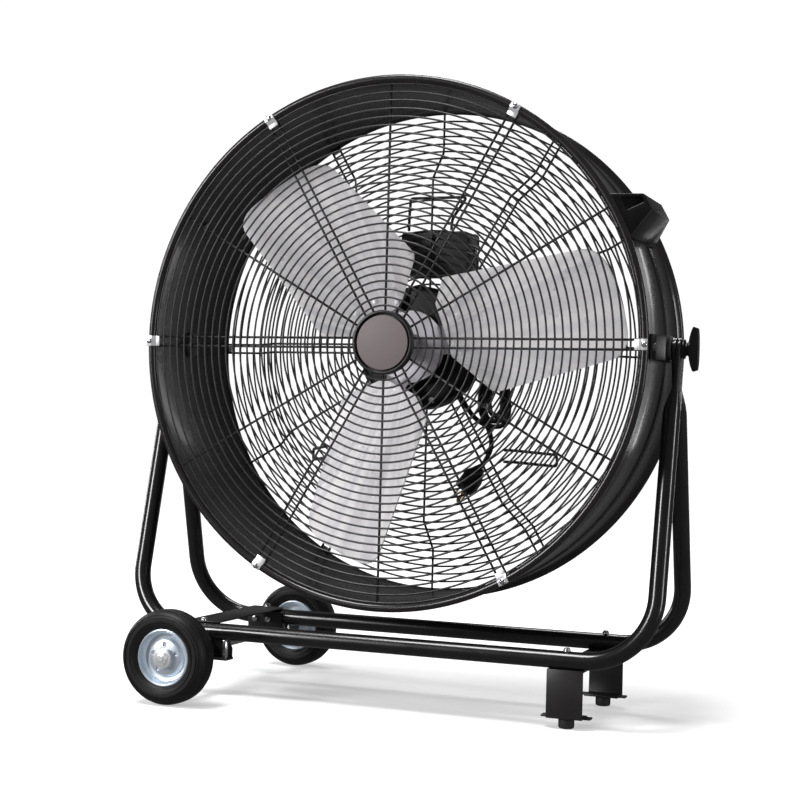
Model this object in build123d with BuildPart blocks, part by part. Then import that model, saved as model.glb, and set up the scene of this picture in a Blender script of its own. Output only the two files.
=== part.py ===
"""Drum fan on a wheeled tube stand.

A sheet-metal drum holds a three-bladed rotor, a flat motor and two wire grilles.  It tilts
between two tube hoops that form the stand, and two clamp knobs hold the tilt.  The stand has
two wheels on an axle at its left end and two rubber feet at its right end.

X points right, Y points back (the fan blows towards -Y) and Z points up.  The origin lies on
the floor, straight below the tilt axis.  All sizes are in millimetres.
"""

import os
from math import atan2, cos, degrees, hypot, radians, sin, sqrt, tan

from build123d import *

os.makedirs("parts", exist_ok=True)

# ------------------------------------------------------------------ driving dimensions
# fits and clearances
seat_gap = 0.2             # between a piece and the curved seat that carries it
moving_gap = 0.3           # between pieces that turn past each other
running_fit = 0.05         # radial play of a shaft in its bore
weld_touch = 0.05          # how closely a welded sheet meets a round tube

# drum
drum_radius = 330.0        # over the rolled beads
drum_rail_gap = 40.0       # from the drum down to the middle of the rails
bead_height = 8.0          # of the beads over the wall between them
drum_sheet = 1.5
drum_front_y = -100.0
drum_rear_y = 110.0
bead_width = 13.0
bead_flat = 4.0            # flat front face of a bead, where the clips sit
crease_y = 22.0            # stiffening crease around the wall
crease_width = 10.0
crease_height = 2.5

# grilles
ring_wire = 2.5
spoke_wire = 3.0
ring_count = 28
inner_ring_radius = 46.0
spoke_inner_radius = 31.0
spoke_pair_gap = 11.6      # between the two wires of a double spoke
grille_edge_gap = 0.6      # outermost ring to the inside of the drum wall
front_ring_inset = 3.75    # front face of the front grille's rings, behind the bead
rear_rim_inset = 9.0       # front face of the rear grille's rings at its rim, before the bead
rear_dish_depth = 38.0     # from its rim to its sunken centre
dish_rim_radius = 266.0    # where the rim turns into the cone
dish_floor_radius = 226.0  # where the cone turns into the flat centre
clip_angles = range(0, 360, 60)
clip_length = 18.0
clip_width = 13.0
clip_sheet = 1.5
clip_screw_radius = 3.6
clip_screw_height = 2.6

# centre cap
cap_radius = 40.0
cap_rim = 4.5              # width of the cap's rim round its disc
cap_depth = 7.0
cap_lip = 1.5

# fan rotor
blade_directions = (10.0, 130.0, 250.0)
blade_tip_gap = 38.5       # from the drum wall
blade_rear_offset = 56.0   # trailing side of the tip from the blade's centre line
blade_front_offset = 74.0  # leading side
blade_sheet = 2.0
blade_motor_gap = 31.0     # from the motor to where the chord crosses the centre line
blade_camber = 9.0
blade_root_slope = 0.50
blade_tip_slope = 0.42
blade_corner_radius = 24.0
hub_radius = 46.0
hub_sheet = 4.0
hub_boss_radius = 17.0
hub_boss_length = 26.0
arm_width = 36.0
arm_twist_length = 4.5     # from the hub to where an arm has the blade's slope
arm_neck_length = 16.0     # from the hub to where an arm widens to its plate
arm_plate_reach = (-31.0, 34.0)  # across the blade, from its centre line
arm_length = 41.0          # from the hub to the end of the plate
arm_sheet = 2.5
rivet_rows = ((29.0, (-26.0, 0.0, 26.0)), (12.0, (-20.0, 2.0)))  # from the hub, and across
rivet_radius = 4.0
rivet_height = 2.0
shaft_radius = 8.0
nut_height = 8.0
nut_flats = 24.0

# motor
motor_radius = 80.0
motor_length = 44.0
motor_wall = 3.0
motor_chamfer = 7.0
bearing_radius = 17.5
bearing_width = 8.0
stator_radius = 68.0
air_gap = 0.8
rotor_core_radius = 40.0
core_length = 20.0
motor_screw_circle = 72.0
motor_screw_angles = (20.0, 110.0, 200.0, 290.0)
motor_screw_radius = 4.2
mount_plate_radius = 70.0
mount_plate_sheet = 2.0

# control box on the back of the rear grille
box_width = 94.0
box_middle_x = 2.5
box_rise = 99.0            # from the fan axis to the underside of the box
box_height = 57.0
box_depth = 42.0
box_wall = 2.5
capacitor_radius = 11.5
capacitor_height = 38.0
box_screw_radius = 6.5      # large screw on the box's right side
box_screw_height = 3.5
knob_radius = 17.0
knob_length = 14.0
knob_stem_radius = 3.0

# cord
cord_diameter = 6.5
cord_hank_x = 87.4         # centre line of the tied hank
cord_ring_gap = 5.25       # between the hank and the rings of the sunken centre
cord_waist_drop = 22.0     # from the fan axis to the hank's tied waist
hank_loops_per_layer = 2
cord_step = 7.05           # from one run to the next
cord_layer_step = 7.2
hank_half_width = 25.6     # centre line of the outermost run, at the turns
hank_half_height = 74.0    # from the waist to the outermost turns
hank_draw_in = 10.0        # how far the tie draws each run in
hank_waist_radius = 60.0
hank_end_run = 20.0        # past the waist, to where the tail begins
gland_x = 36.0
gland_length = 24.0
gland_base_radius = 7.5
plug_length = 38.0
plug_width = 26.0
plug_thickness = 20.0
tie_band = 1.2
tie_width = 4.8
tie_corner = 1.8           # inside corners of the band

# cord-wrap hooks on the rear grille
hook_wire = 4.0
side_hook_gap = 15.0       # between the two wires of a side hook
side_hook_reach = (42.0, 54.0)  # outwards and backwards
side_hook_bases = ((120.0, -137.0, 1), (-148.0, -140.0, -1))  # from the fan axis
top_hook_gap = 1.5         # above the control box
top_hook_rise = 47.5
top_hook_base_half = 30.0
top_hook_top_half = 40.0
top_hook_centre_x = -4.5
top_hook_lean = 28.0

# stand
tube_radius = 10.5
rail_z = 80.0
rail_y = 91.0
leg_inset = 2.0            # middle of a leg to where the flattened ends touch
hoop_bend = 80.0
flat_thickness = 6.0       # flattened tube end at the pivot
flat_width = 27.0
flat_length = 42.0         # flat below the pivot
flare_length = 40.0        # from the flat to the full round tube
cross_plate_width = 46.0   # plate across the rails at the wheel end
cross_plate_sheet = 2.0
cross_plate_inset = 23.0   # from the end of the straight rail
cross_plate_overhang = 4.0  # past the middle of a rail

# tilt pivots
pivot_bolt_radius = 5.0
bracket_length = 122.0
bracket_height = 30.0
bracket_sheet = 3.0
bracket_foot = 24.0
bracket_rise = 13.0        # outer face of the raised middle over the drum wall
washer_thickness = 2.7
friction_washer_radius = 14.0
pivot_nut_flats = 17.0
pivot_nut_height = 6.0
inner_plate_length = 39.0
inner_plate_height = 34.0
inner_plate_sheet = 1.8
knob_hub_radius = 12.0
knob_hub_length = 7.0
knob_bar_length = 54.0
knob_bar_depth = 12.0
knob_bar_thickness = 15.0
knob_bar_tip = 9.0

# carry handles
handle_angles = (29.0, 151.0)
handle_centre_y = 7.5
handle_base_length = 130.0
handle_base_width = 62.0
handle_top_length = 98.0
handle_top_width = 23.0
handle_height = 35.0
grip_recess = (86.0, 20.0)  # length and height of the finger recess
grip_base = 6.0            # material under the recess
grip_back = -4.0           # back wall of the recess, from the middle plane
handle_screw_spread = 53.5  # from the handle's middle to each screw
end_pocket_depth = 5.0
end_pocket_outline = ((2.0, -11.0), (19.0, -11.0), (9.0, 12.0), (2.0, 12.0))

# feet and wheels
foot_inset = 21.0          # from the end of the straight rail
foot_plate_width = 44.0
foot_plate_overhang = 8.0  # outer face of the upright plate past the middle of a rail
foot_sheet = 2.5
foot_flange_z = 12.0       # underside of the bottom flange
foot_flange_depth = 26.0
foot_tab = 8.0             # tab that stands out beside a foot
rubber_foot_radius = 9.5
stand_bolt_radius = 5.0
stand_bolt_height = 4.0
axle_inset = 25.0          # from the end of the straight rail
axle_radius = 6.0
wheel_radius = 58.0
wheel_y = 185.0
tyre_width = 38.0
tyre_shoulder = 7.0
rim_radius = 35.0
rim_web = 3.0
rim_flange_width = 26.0
hub_tube_radius = 11.0
axle_bracket_width = 50.0
axle_bracket_top_inset = 3.5  # below the top of the rail
axle_bracket_drop = 13.5   # below the axle
axle_bracket_flange = (19.0, 61.0)  # depth and length of its bottom flange
rail_bolt_offset = 29.0    # from the axle to the bolts that hang the flange from the rail
axle_cap_radius = 10.0
axle_recess = 3.0          # axle end to the outside of the cap
spacer_radius = 9.0

# ------------------------------------------------------------------ derived sizes
drum_wall_radius = drum_radius - bead_height
drum_inner_radius = drum_wall_radius - drum_sheet
tilt_height = rail_z + drum_rail_gap + drum_radius  # tilt axis above the floor
front_ring_y = drum_front_y + front_ring_inset
rear_rim_y = drum_rear_y - rear_rim_inset
rear_dish_y = rear_rim_y - rear_dish_depth
cap_disc_radius = cap_radius - cap_rim
blade_tip_radius = drum_inner_radius - blade_tip_gap
arm_twist_end = hub_radius + arm_twist_length
arm_plate_start = hub_radius + arm_neck_length
arm_end_radius = hub_radius + arm_length
motor_rear_y = rear_dish_y - spoke_wire - mount_plate_sheet
motor_front_y = motor_rear_y - motor_length
motor_split_y = (motor_front_y + motor_rear_y) / 2
blade_chord_y = motor_front_y - blade_motor_gap
box_bottom_z = tilt_height + box_rise
cord_layer_y = rear_dish_y + ring_wire + cord_ring_gap + cord_diameter / 2
cord_waist_z = tilt_height - cord_waist_drop
top_hook_base_z = box_bottom_z + box_height + top_hook_gap
top_hook_top_z = top_hook_base_z + top_hook_rise
outer_ring_radius = drum_inner_radius - grille_edge_gap - ring_wire / 2
ring_pitch = (outer_ring_radius - inner_ring_radius) / (ring_count - 1)
front_spoke_y = front_ring_y + ring_wire
spoke_outer_radius = outer_ring_radius + ring_wire / 2
bracket_outer_x = drum_wall_radius + bracket_rise  # outer face of the raised middle
strip_meet_x = bracket_outer_x + washer_thickness + moving_gap + flat_thickness
leg_x = strip_meet_x - leg_inset
rail_end_x = leg_x - hoop_bend  # where the straight rail ends
foot_x = rail_end_x - foot_inset
axle_x = axle_inset - rail_end_x
cross_plate_x = cross_plate_inset - rail_end_x
rail_bolt_x = axle_x + rail_bolt_offset
cross_plate_half_length = rail_y + cross_plate_overhang
foot_plate_y = rail_y + foot_plate_overhang
hoop_lean = atan2(rail_y, tilt_height - rail_z)
hoop_height = hypot(rail_y, tilt_height - rail_z)
rail_bottom_z = rail_z - tube_radius
rail_top_z = rail_z + tube_radius
rail_flank_y = rail_y - tube_radius
axle_bracket_top_z = rail_top_z - axle_bracket_top_inset
axle_bracket_bottom_z = wheel_radius - axle_bracket_drop


# ------------------------------------------------------------------ helpers
def save(piece, node):
    """Label a finished piece and write it as its own STEP file."""
    piece.part.label = node
    export_step(piece.part, f"parts/{node}.step")


def save_group(pieces, node):
    """Write pieces that touch or repeat as one node of separate solids."""
    solids = [solid for piece in pieces for solid in piece.part.solids()]
    group = Compound(label=node, children=solids)
    export_step(group, f"parts/{node}.step")


def front_plane(y):
    """Plane across the fan axis: x right, y up, extruding towards the front."""
    return Plane(origin=(0, y, tilt_height), x_dir=(1, 0, 0), z_dir=(0, -1, 0))


def radial_plane(angle, offset=0.0):
    """Plane through the fan axis: x runs outwards at an angle, y runs backwards."""
    a = radians(angle)
    origin = (-offset * sin(a), 0, tilt_height + offset * cos(a))
    return Plane(origin=origin, x_dir=(cos(a), 0, sin(a)), z_dir=(-sin(a), 0, cos(a)))


def span_plane(angle, distance):
    """Plane across a blade: x along its chord, y towards the front."""
    a = radians(angle)
    origin = (distance * cos(a), 0, tilt_height + distance * sin(a))
    return Plane(origin=origin, x_dir=(-sin(a), 0, cos(a)), z_dir=(cos(a), 0, sin(a)))


def blade_plan_plane(angle, y):
    """Plane across the fan axis, x along a blade and y along its chord."""
    a = radians(angle)
    return Plane(origin=(0, y, tilt_height), x_dir=(cos(a), 0, sin(a)), z_dir=(0, -1, 0))


def side_plane(x):
    """Plane across the tilt axis: x runs backwards, y up, extruding to the right."""
    return Plane(origin=(x, 0, tilt_height), x_dir=(0, 1, 0), z_dir=(1, 0, 0))


fan_axis = Axis((0, 0, tilt_height), (0, 1, 0))


def ring_sides(radius):
    """Straight sides of one ring: few on a small ring, more on a large one."""
    share = radius / drum_wall_radius
    if share > 0.62:
        return 24
    return 18 if share > 0.31 else 12


def rear_grille_y(radius):
    """Front face of the rear grille's rings at a radius: rim, cone and sunken centre."""
    if radius >= dish_rim_radius:
        return rear_rim_y
    if radius <= dish_floor_radius:
        return rear_dish_y
    share = (radius - dish_floor_radius) / (dish_rim_radius - dish_floor_radius)
    return rear_dish_y + share * (rear_rim_y - rear_dish_y)


ring_radii = [outer_ring_radius - ring_pitch * i for i in range(ring_count)]
spoke_lines = [(angle, side * spoke_pair_gap / 2) for angle in clip_angles for side in (-1, 1)]
spoke_lines += [(angle + 30, 0.0) for angle in clip_angles]

# ------------------------------------------------------------------ drum shell
with BuildPart() as drum_shell:
    with BuildSketch(Plane.XY.offset(tilt_height)):
        with BuildLine():
            front_bead = [
                (drum_inner_radius, drum_front_y + 3.5),
                (drum_radius - 2.0 - bead_flat, drum_front_y),
                (drum_radius - 2.0, drum_front_y),
                (drum_radius, drum_front_y + 3.0),
                (drum_radius, drum_front_y + 8.0),
                (drum_wall_radius, drum_front_y + bead_width),
            ]
            crease = [
                (drum_wall_radius, crease_y),
                (drum_wall_radius + crease_height, crease_y + crease_width / 2),
                (drum_wall_radius, crease_y + crease_width),
            ]
            bead_middle = drum_front_y + drum_rear_y
            rear_bead = [(r, bead_middle - y) for r, y in reversed(front_bead)]
            Polyline(*front_bead, *crease, *rear_bead, close=True)
        make_face()
    revolve(axis=fan_axis)
save(drum_shell, "drum_shell")

# ------------------------------------------------------------------ front grille
with BuildPart() as front_rings:
    with BuildSketch(front_plane(front_spoke_y)):
        for radius in ring_radii:
            RegularPolygon(radius + ring_wire / 2, ring_sides(radius))
            RegularPolygon(radius - ring_wire / 2, ring_sides(radius), mode=Mode.SUBTRACT)
    extrude(amount=ring_wire)

with BuildPart() as front_spokes:
    with BuildSketch(front_plane(front_spoke_y)):
        for angle, offset in spoke_lines:
            a = radians(angle)
            middle = (spoke_inner_radius + spoke_outer_radius) / 2
            place = (middle * cos(a) - offset * sin(a), middle * sin(a) + offset * cos(a))
            with Locations(Location((*place, 0), (0, 0, angle))):
                Rectangle(spoke_outer_radius - spoke_inner_radius, spoke_wire)
    extrude(amount=-spoke_wire)
save_group([front_rings, front_spokes], "front_grille")

# ------------------------------------------------------------------ rear grille
rear_rim_rings = []
rear_centre_rings = []
for radius in ring_radii:
    on_cone = dish_floor_radius < radius < dish_rim_radius
    stand_off = ring_wire / 2 if on_cone else 0.0
    with BuildPart() as rear_ring:
        with BuildSketch(front_plane(rear_grille_y(radius) + stand_off)):
            RegularPolygon(radius + ring_wire / 2, ring_sides(radius))
            RegularPolygon(radius - ring_wire / 2, ring_sides(radius), mode=Mode.SUBTRACT)
        extrude(amount=-ring_wire)
    if radius > dish_floor_radius:
        rear_rim_rings.append(rear_ring)
    else:
        rear_centre_rings.append(rear_ring)
save_group(rear_rim_rings, "rear_rim_rings")
save_group(rear_centre_rings, "rear_centre_rings")

spoke_turns = (spoke_inner_radius, dish_floor_radius, dish_rim_radius, spoke_outer_radius)
rear_spokes = []
for angle, offset in spoke_lines:
    with BuildPart() as rear_spoke:
        with BuildSketch(radial_plane(angle, offset)):
            with BuildLine():
                back = [(r, rear_grille_y(r)) for r in spoke_turns]
                front = [(r, y - spoke_wire) for r, y in reversed(back)]
                Polyline(*back, *front, close=True)
            make_face()
        extrude(amount=spoke_wire / 2, both=True)
    rear_spokes.append(rear_spoke)
save_group(rear_spokes, "rear_spokes")

# ------------------------------------------------------------------ cord-wrap hooks
hook_plane_y = rear_dish_y + ring_wire + hook_wire / 2
hooks = []
for base_x, base_rise, side in side_hook_bases:
    base_z = tilt_height + base_rise
    out, back = side_hook_reach
    half = side_hook_gap / 2
    corner = half * 0.95
    with BuildPart() as side_hook:
        with BuildLine() as hook_path:
            FilletPolyline(
                (base_x - side * 14, hook_plane_y, base_z + half),
                (base_x, hook_plane_y, base_z + half),
                (base_x + side * out, hook_plane_y + back, base_z + half - 5),
                (base_x + side * out, hook_plane_y + back, base_z - half - 5),
                (base_x, hook_plane_y, base_z - half),
                (base_x - side * 14, hook_plane_y, base_z - half),
                radius=[6, corner, corner, 6],
            )
        with BuildSketch(Plane(origin=hook_path.line @ 0, z_dir=hook_path.line % 0)):
            RegularPolygon(hook_wire / 2, 6)
        sweep()
    hooks.append(side_hook)

with BuildPart() as top_hook:
    with BuildLine() as hook_path:
        left_base = top_hook_centre_x - top_hook_base_half
        right_base = top_hook_centre_x + top_hook_base_half
        left_top = top_hook_centre_x - top_hook_top_half
        right_top = top_hook_centre_x + top_hook_top_half
        FilletPolyline(
            (left_base, hook_plane_y, top_hook_base_z),
            (left_base, hook_plane_y, top_hook_base_z + 13),
            (left_top, hook_plane_y + top_hook_lean, top_hook_top_z),
            (right_top, hook_plane_y + top_hook_lean, top_hook_top_z),
            (right_base, hook_plane_y, top_hook_base_z + 13),
            (right_base, hook_plane_y, top_hook_base_z),
            radius=[6, 10, 10, 6],
        )
    with BuildSketch(Plane(origin=hook_path.line @ 0, x_dir=(1, 0, 0), z_dir=(0, 0, 1))):
        RegularPolygon(hook_wire / 2, 6)
    sweep()
hooks.append(top_hook)
save_group(hooks, "cord_hooks")

# ------------------------------------------------------------------ grille clips
bead_seat_radius = drum_radius - 2.0 - bead_flat / 2
clips = []
for side, bead_face, ring_face in (
    (-1, drum_front_y, front_ring_y),
    (1, drum_rear_y, rear_rim_y + ring_wire),
):
    step = abs(bead_face - ring_face)
    clip_profile = [
        (bead_seat_radius + 3.5, 0.0),
        (drum_radius - 6.2, 0.0),
        (drum_inner_radius - 0.3, -3.6),
        (drum_inner_radius - 0.9, -step),
        (drum_inner_radius - 7.0, -step),
        (drum_inner_radius - 7.0, clip_sheet - step),
        (drum_inner_radius - 2.3, clip_sheet - step),
        (drum_inner_radius - 1.8, max(-2.8, clip_sheet - step + 0.3)),
        (drum_radius - 6.9, clip_sheet),
        (bead_seat_radius + 3.5, clip_sheet),
    ]
    for angle in clip_angles:
        with BuildPart() as clip:
            with BuildSketch(radial_plane(angle)):
                with BuildLine():
                    Polyline(*[(r, bead_face + side * out) for r, out in clip_profile], close=True)
                make_face()
            extrude(amount=clip_width / 2, both=True)
        clips.append(clip)
save_group(clips, "grille_clips")

with BuildPart() as clip_screws:
    for side, face in ((1, drum_front_y - clip_sheet), (-1, drum_rear_y + clip_sheet)):
        with BuildSketch(front_plane(face)):
            with PolarLocations(bead_seat_radius, len(clip_angles)):
                Circle(clip_screw_radius)
        extrude(amount=side * clip_screw_height)
save(clip_screws, "clip_screws")

# ------------------------------------------------------------------ centre cap
with BuildPart() as cap_ring:
    with BuildSketch(front_plane(front_spoke_y)):
        Circle(cap_radius)
    extrude(amount=cap_depth)
    with BuildSketch(front_plane(front_spoke_y - cap_depth)):
        Circle(cap_disc_radius)
    extrude(amount=-cap_lip, mode=Mode.SUBTRACT)
    chamfer(cap_ring.edges().group_by(Axis.Y)[0].sort_by(SortBy.LENGTH)[-1], 2.0)
save(cap_ring, "centre_cap")

with BuildPart() as cap_disc:
    with BuildSketch(front_plane(front_spoke_y - cap_depth + cap_lip)):
        Circle(cap_disc_radius - seat_gap)
    extrude(amount=cap_lip - 0.3)
save(cap_disc, "cap_disc")


# ------------------------------------------------------------------ fan blades
def blade_slope(distance):
    """Rise of the chord towards the front, which eases from the root to the tip."""
    share = (distance - hub_radius) / (blade_tip_radius - hub_radius)
    return blade_root_slope + share * (blade_tip_slope - blade_root_slope)


def blade_arc(distance):
    """Centre and radius of the blade's middle line at a place along its span."""
    half = blade_front_offset
    rise = blade_slope(distance) * half
    sag = blade_camber
    middle = -blade_chord_y - sag
    # circle through the two ends and the middle of the line
    x1, y1, x2, y2 = half, rise + sag, -half, -rise + sag
    centre_y = (x1**2 + y1**2 - (x2**2 + y2**2) * x1 / x2) / (2 * (y1 - y2 * x1 / x2))
    centre_x = (x1**2 + y1**2 - 2 * centre_y * y1) / (2 * x1)
    return centre_x, middle + centre_y, hypot(centre_x, centre_y)


def blade_front(distance, chord):
    """Height of the blade's middle surface towards the front, at a place on its plan."""
    centre_x, centre_y, radius = blade_arc(distance)
    return centre_y - sqrt(radius**2 - (chord - centre_x) ** 2)


def blade_rise(distance, chord):
    """Slope of the blade's middle surface across its chord."""
    centre_x, _, radius = blade_arc(distance)
    return (chord - centre_x) / sqrt(radius**2 - (chord - centre_x) ** 2)


def sheet_section(distance, chords, level, thickness):
    """Outline of a sheet bent like the blade, raised by a level over its middle surface."""
    low, high = chords
    middle = (low + high) / 2
    arc = [(x, blade_front(distance, x) + level) for x in (low, middle, high)]
    half = thickness / 2
    upper = [(x, y + half) for x, y in arc]
    lower = [(x, y - half) for x, y in reversed(arc)]
    ThreePointArc(*upper)
    Line(upper[-1], lower[0])
    ThreePointArc(*lower)
    Line(lower[-1], upper[0])


blade_span = (30.0, blade_tip_radius / 2 + 24.0, blade_tip_radius + 18.0)
blade_half_chord = blade_front_offset + 6.0
for number, direction in enumerate(blade_directions, start=1):
    with BuildPart() as blade:
        for distance in blade_span:
            with BuildSketch(span_plane(direction, distance)):
                with BuildLine():
                    reach = (-blade_half_chord, blade_half_chord)
                    sheet_section(distance, reach, 0.0, blade_sheet)
                make_face()
        loft()
        with BuildSketch(blade_plan_plane(direction, -90.0)) as outline:
            tip_rear = sqrt(blade_tip_radius**2 - blade_rear_offset**2)
            tip_front = sqrt(blade_tip_radius**2 - blade_front_offset**2)
            with BuildLine():
                Polyline(
                    (tip_rear, -blade_rear_offset),
                    (hub_radius + 50.0, -blade_front_offset),
                    (hub_radius + 6.0, -21.0),
                    (hub_radius + 6.0, 45.0),
                    (hub_radius + 26.0, blade_front_offset - 2.0),
                    (tip_front, blade_front_offset),
                )
                ThreePointArc(
                    (tip_front, blade_front_offset),
                    (blade_tip_radius, 0),
                    (tip_rear, -blade_rear_offset),
                )
            make_face()
            fillet(outline.vertices().group_by(Axis.X)[-1], blade_corner_radius)
            fillet(outline.vertices().sort_by(Axis.Y)[0], 8.0)
        extrude(amount=-180.0, mode=Mode.INTERSECT)
    save(blade, f"blade_{number}")

# ------------------------------------------------------------------ hub and rivets
hub_front_y = -blade_front(hub_radius, 0) + blade_sheet / 2
hub_rear_y = hub_front_y + hub_sheet
with BuildPart() as hub:
    with BuildSketch(front_plane(hub_rear_y)):
        Circle(hub_radius)
    extrude(amount=hub_sheet)
    with BuildSketch(front_plane(hub_rear_y)):
        Circle(hub_boss_radius)
    extrude(amount=hub_boss_length)
    plate_level = -(blade_sheet + arm_sheet) / 2 - 0.1
    arm_level = blade_front(hub_radius, 0) + plate_level
    full_turn = degrees(atan2(blade_rise(arm_twist_end, 0.0), 1))
    for direction in blade_directions:
        # an arm twists from the flat disc to the blade's slope, then widens to its plate
        for distance, turn in ((hub_radius - 6.0, 0.0), (arm_twist_end, full_turn)):
            with BuildSketch(span_plane(direction, distance)):
                with Locations(Location((0, arm_level, 0), (0, 0, turn))):
                    Rectangle(arm_width, arm_sheet)
        loft()
        for start, stop, chords in (
            (arm_twist_end - 1.5, arm_plate_start + 1.0, (-arm_width / 2, arm_width / 2)),
            (arm_plate_start, arm_end_radius, arm_plate_reach),
        ):
            for distance in (start, stop):
                with BuildSketch(span_plane(direction, distance)):
                    with BuildLine():
                        sheet_section(distance, chords, plate_level, arm_sheet)
                    make_face()
            loft()
    with BuildSketch(front_plane(hub_rear_y)):
        Circle(shaft_radius + running_fit)
    extrude(amount=hub_boss_length, both=True, mode=Mode.SUBTRACT)
save(hub, "spider_hub")

with BuildPart() as rivets:
    for direction in blade_directions:
        for from_hub, chords in rivet_rows:
            distance = hub_radius + from_hub
            for chord in chords:
                base = span_plane(direction, distance)
                rise = blade_rise(distance, chord)
                centre = base.from_local_coords(Vector(chord, blade_front(distance, chord), 0))
                ahead = base.from_local_coords(
                    Vector(chord - rise, blade_front(distance, chord) + 1, 0)
                )
                normal = (ahead - centre).normalized()
                centre += normal * (blade_sheet / 2 / sqrt(1 + rise**2) + 0.1)
                with BuildSketch(Plane(origin=centre, z_dir=normal)):
                    RegularPolygon(rivet_radius, 8)
                extrude(amount=rivet_height, taper=12)
save(rivets, "blade_rivets")

# ------------------------------------------------------------------ motor
shaft_front_y = hub_rear_y - hub_boss_length - nut_height - 2.0
shaft_rear_y = motor_rear_y - motor_wall
with BuildPart() as shaft:
    with BuildSketch(front_plane(shaft_rear_y)):
        Circle(shaft_radius)
    extrude(amount=shaft_rear_y - shaft_front_y)
save(shaft, "motor_shaft")

with BuildPart() as hub_nut:
    with BuildSketch(front_plane(hub_rear_y - hub_boss_length)):
        RegularPolygon(nut_flats / 2, 6, major_radius=False)
        Circle(shaft_radius + running_fit, mode=Mode.SUBTRACT)
    extrude(amount=nut_height)
save(hub_nut, "hub_nut")

core_front_y = (motor_front_y + motor_rear_y - core_length) / 2
with BuildPart() as rotor_core:
    with BuildSketch(front_plane(core_front_y + core_length)):
        Circle(rotor_core_radius)
        Circle(shaft_radius + running_fit, mode=Mode.SUBTRACT)
    extrude(amount=core_length)
save(rotor_core, "rotor_core")

with BuildPart() as stator:
    with BuildSketch(front_plane(core_front_y + core_length)):
        RegularPolygon(stator_radius, 8, major_radius=True)
        RegularPolygon(rotor_core_radius + air_gap, 24, major_radius=False, mode=Mode.SUBTRACT)
    extrude(amount=core_length)
save(stator, "motor_stator")

with BuildPart() as bearings:
    for face in (motor_front_y + motor_wall, motor_rear_y - motor_wall - bearing_width):
        with BuildSketch(front_plane(face + bearing_width)):
            RegularPolygon(bearing_radius, 16, major_radius=True)
            Circle(shaft_radius + running_fit, mode=Mode.SUBTRACT)
        extrude(amount=bearing_width)
save(bearings, "motor_bearings")

bearing_seat = bearing_radius + seat_gap
with BuildPart() as motor_front:
    with BuildSketch(Plane.XY.offset(tilt_height)):
        with BuildLine():
            Polyline(
                (shaft_radius + 1.0, motor_front_y),
                (motor_radius - motor_chamfer, motor_front_y),
                (motor_radius, motor_front_y + motor_chamfer),
                (motor_radius, motor_split_y),
                (motor_radius - motor_wall, motor_split_y),
                (motor_radius - motor_wall, motor_front_y + motor_chamfer + 1),
                (bearing_seat + 3, motor_front_y + motor_chamfer),
                (bearing_seat, motor_front_y + bearing_width),
                (bearing_seat, motor_front_y + motor_wall),
                (shaft_radius + 1.0, motor_front_y + motor_wall),
                close=True,
            )
        make_face()
    revolve(axis=fan_axis)
save(motor_front, "motor_front_shell")

with BuildPart() as motor_rear:
    with BuildSketch(Plane.XY.offset(tilt_height)):
        with BuildLine():
            Polyline(
                (0, motor_rear_y),
                (motor_radius - motor_chamfer, motor_rear_y),
                (motor_radius, motor_rear_y - motor_chamfer),
                (motor_radius, motor_split_y),
                (motor_radius - motor_wall, motor_split_y),
                (motor_radius - motor_wall, motor_rear_y - motor_chamfer - 1),
                (motor_radius - motor_chamfer - 1, motor_rear_y - motor_wall),
                (bearing_seat + 3, motor_rear_y - motor_wall),
                (bearing_seat + 3, motor_rear_y - motor_wall - bearing_width),
                (bearing_seat, motor_rear_y - motor_wall - bearing_width),
                (bearing_seat, motor_rear_y - motor_wall),
                (0, motor_rear_y - motor_wall),
                close=True,
            )
        make_face()
    revolve(axis=fan_axis)
save(motor_rear, "motor_rear_shell")

with BuildPart() as motor_screws:
    with BuildSketch(front_plane(motor_front_y)):
        for angle in motor_screw_angles:
            a = radians(angle)
            with Locations((motor_screw_circle * cos(a), motor_screw_circle * sin(a))):
                RegularPolygon(motor_screw_radius, 6)
    extrude(amount=2.0)
save(motor_screws, "motor_screws")

with BuildPart() as mount_plate:
    with BuildSketch(front_plane(motor_rear_y + mount_plate_sheet)):
        RegularPolygon(mount_plate_radius, 24)
    extrude(amount=mount_plate_sheet)
save(mount_plate, "motor_mount_plate")

# ------------------------------------------------------------------ control box
box_front_y = rear_dish_y + ring_wire
box_rear_y = box_front_y + box_depth
box_middle_z = box_bottom_z + box_height / 2
box_plane = Plane(origin=(box_middle_x, box_rear_y, box_middle_z), x_dir=(1, 0, 0), z_dir=(0, -1, 0))
with BuildPart() as control_box:
    with BuildSketch(box_plane):
        RectangleRounded(box_width, box_height, 6.0)
    extrude(amount=box_depth)
    with BuildSketch(box_plane):
        RectangleRounded(box_width - 2 * box_wall, box_height - 2 * box_wall, 4.0)
    extrude(amount=box_depth - box_wall, mode=Mode.SUBTRACT)
save(control_box, "control_box")

with BuildPart() as box_cover:
    with BuildSketch(box_plane):
        RectangleRounded(box_width + 2, box_height + 2, 7.0)
        Circle(knob_stem_radius + running_fit, mode=Mode.SUBTRACT)
    extrude(amount=-box_wall)
save(box_cover, "control_box_cover")

with BuildPart() as speed_switch:
    switch_plane = box_plane.offset(seat_gap)
    with BuildSketch(switch_plane):
        Rectangle(30, 30)
    extrude(amount=18)
    with BuildSketch(switch_plane):
        Circle(knob_stem_radius + 1.0)
    extrude(amount=6, mode=Mode.SUBTRACT)
save(speed_switch, "speed_switch")

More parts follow.
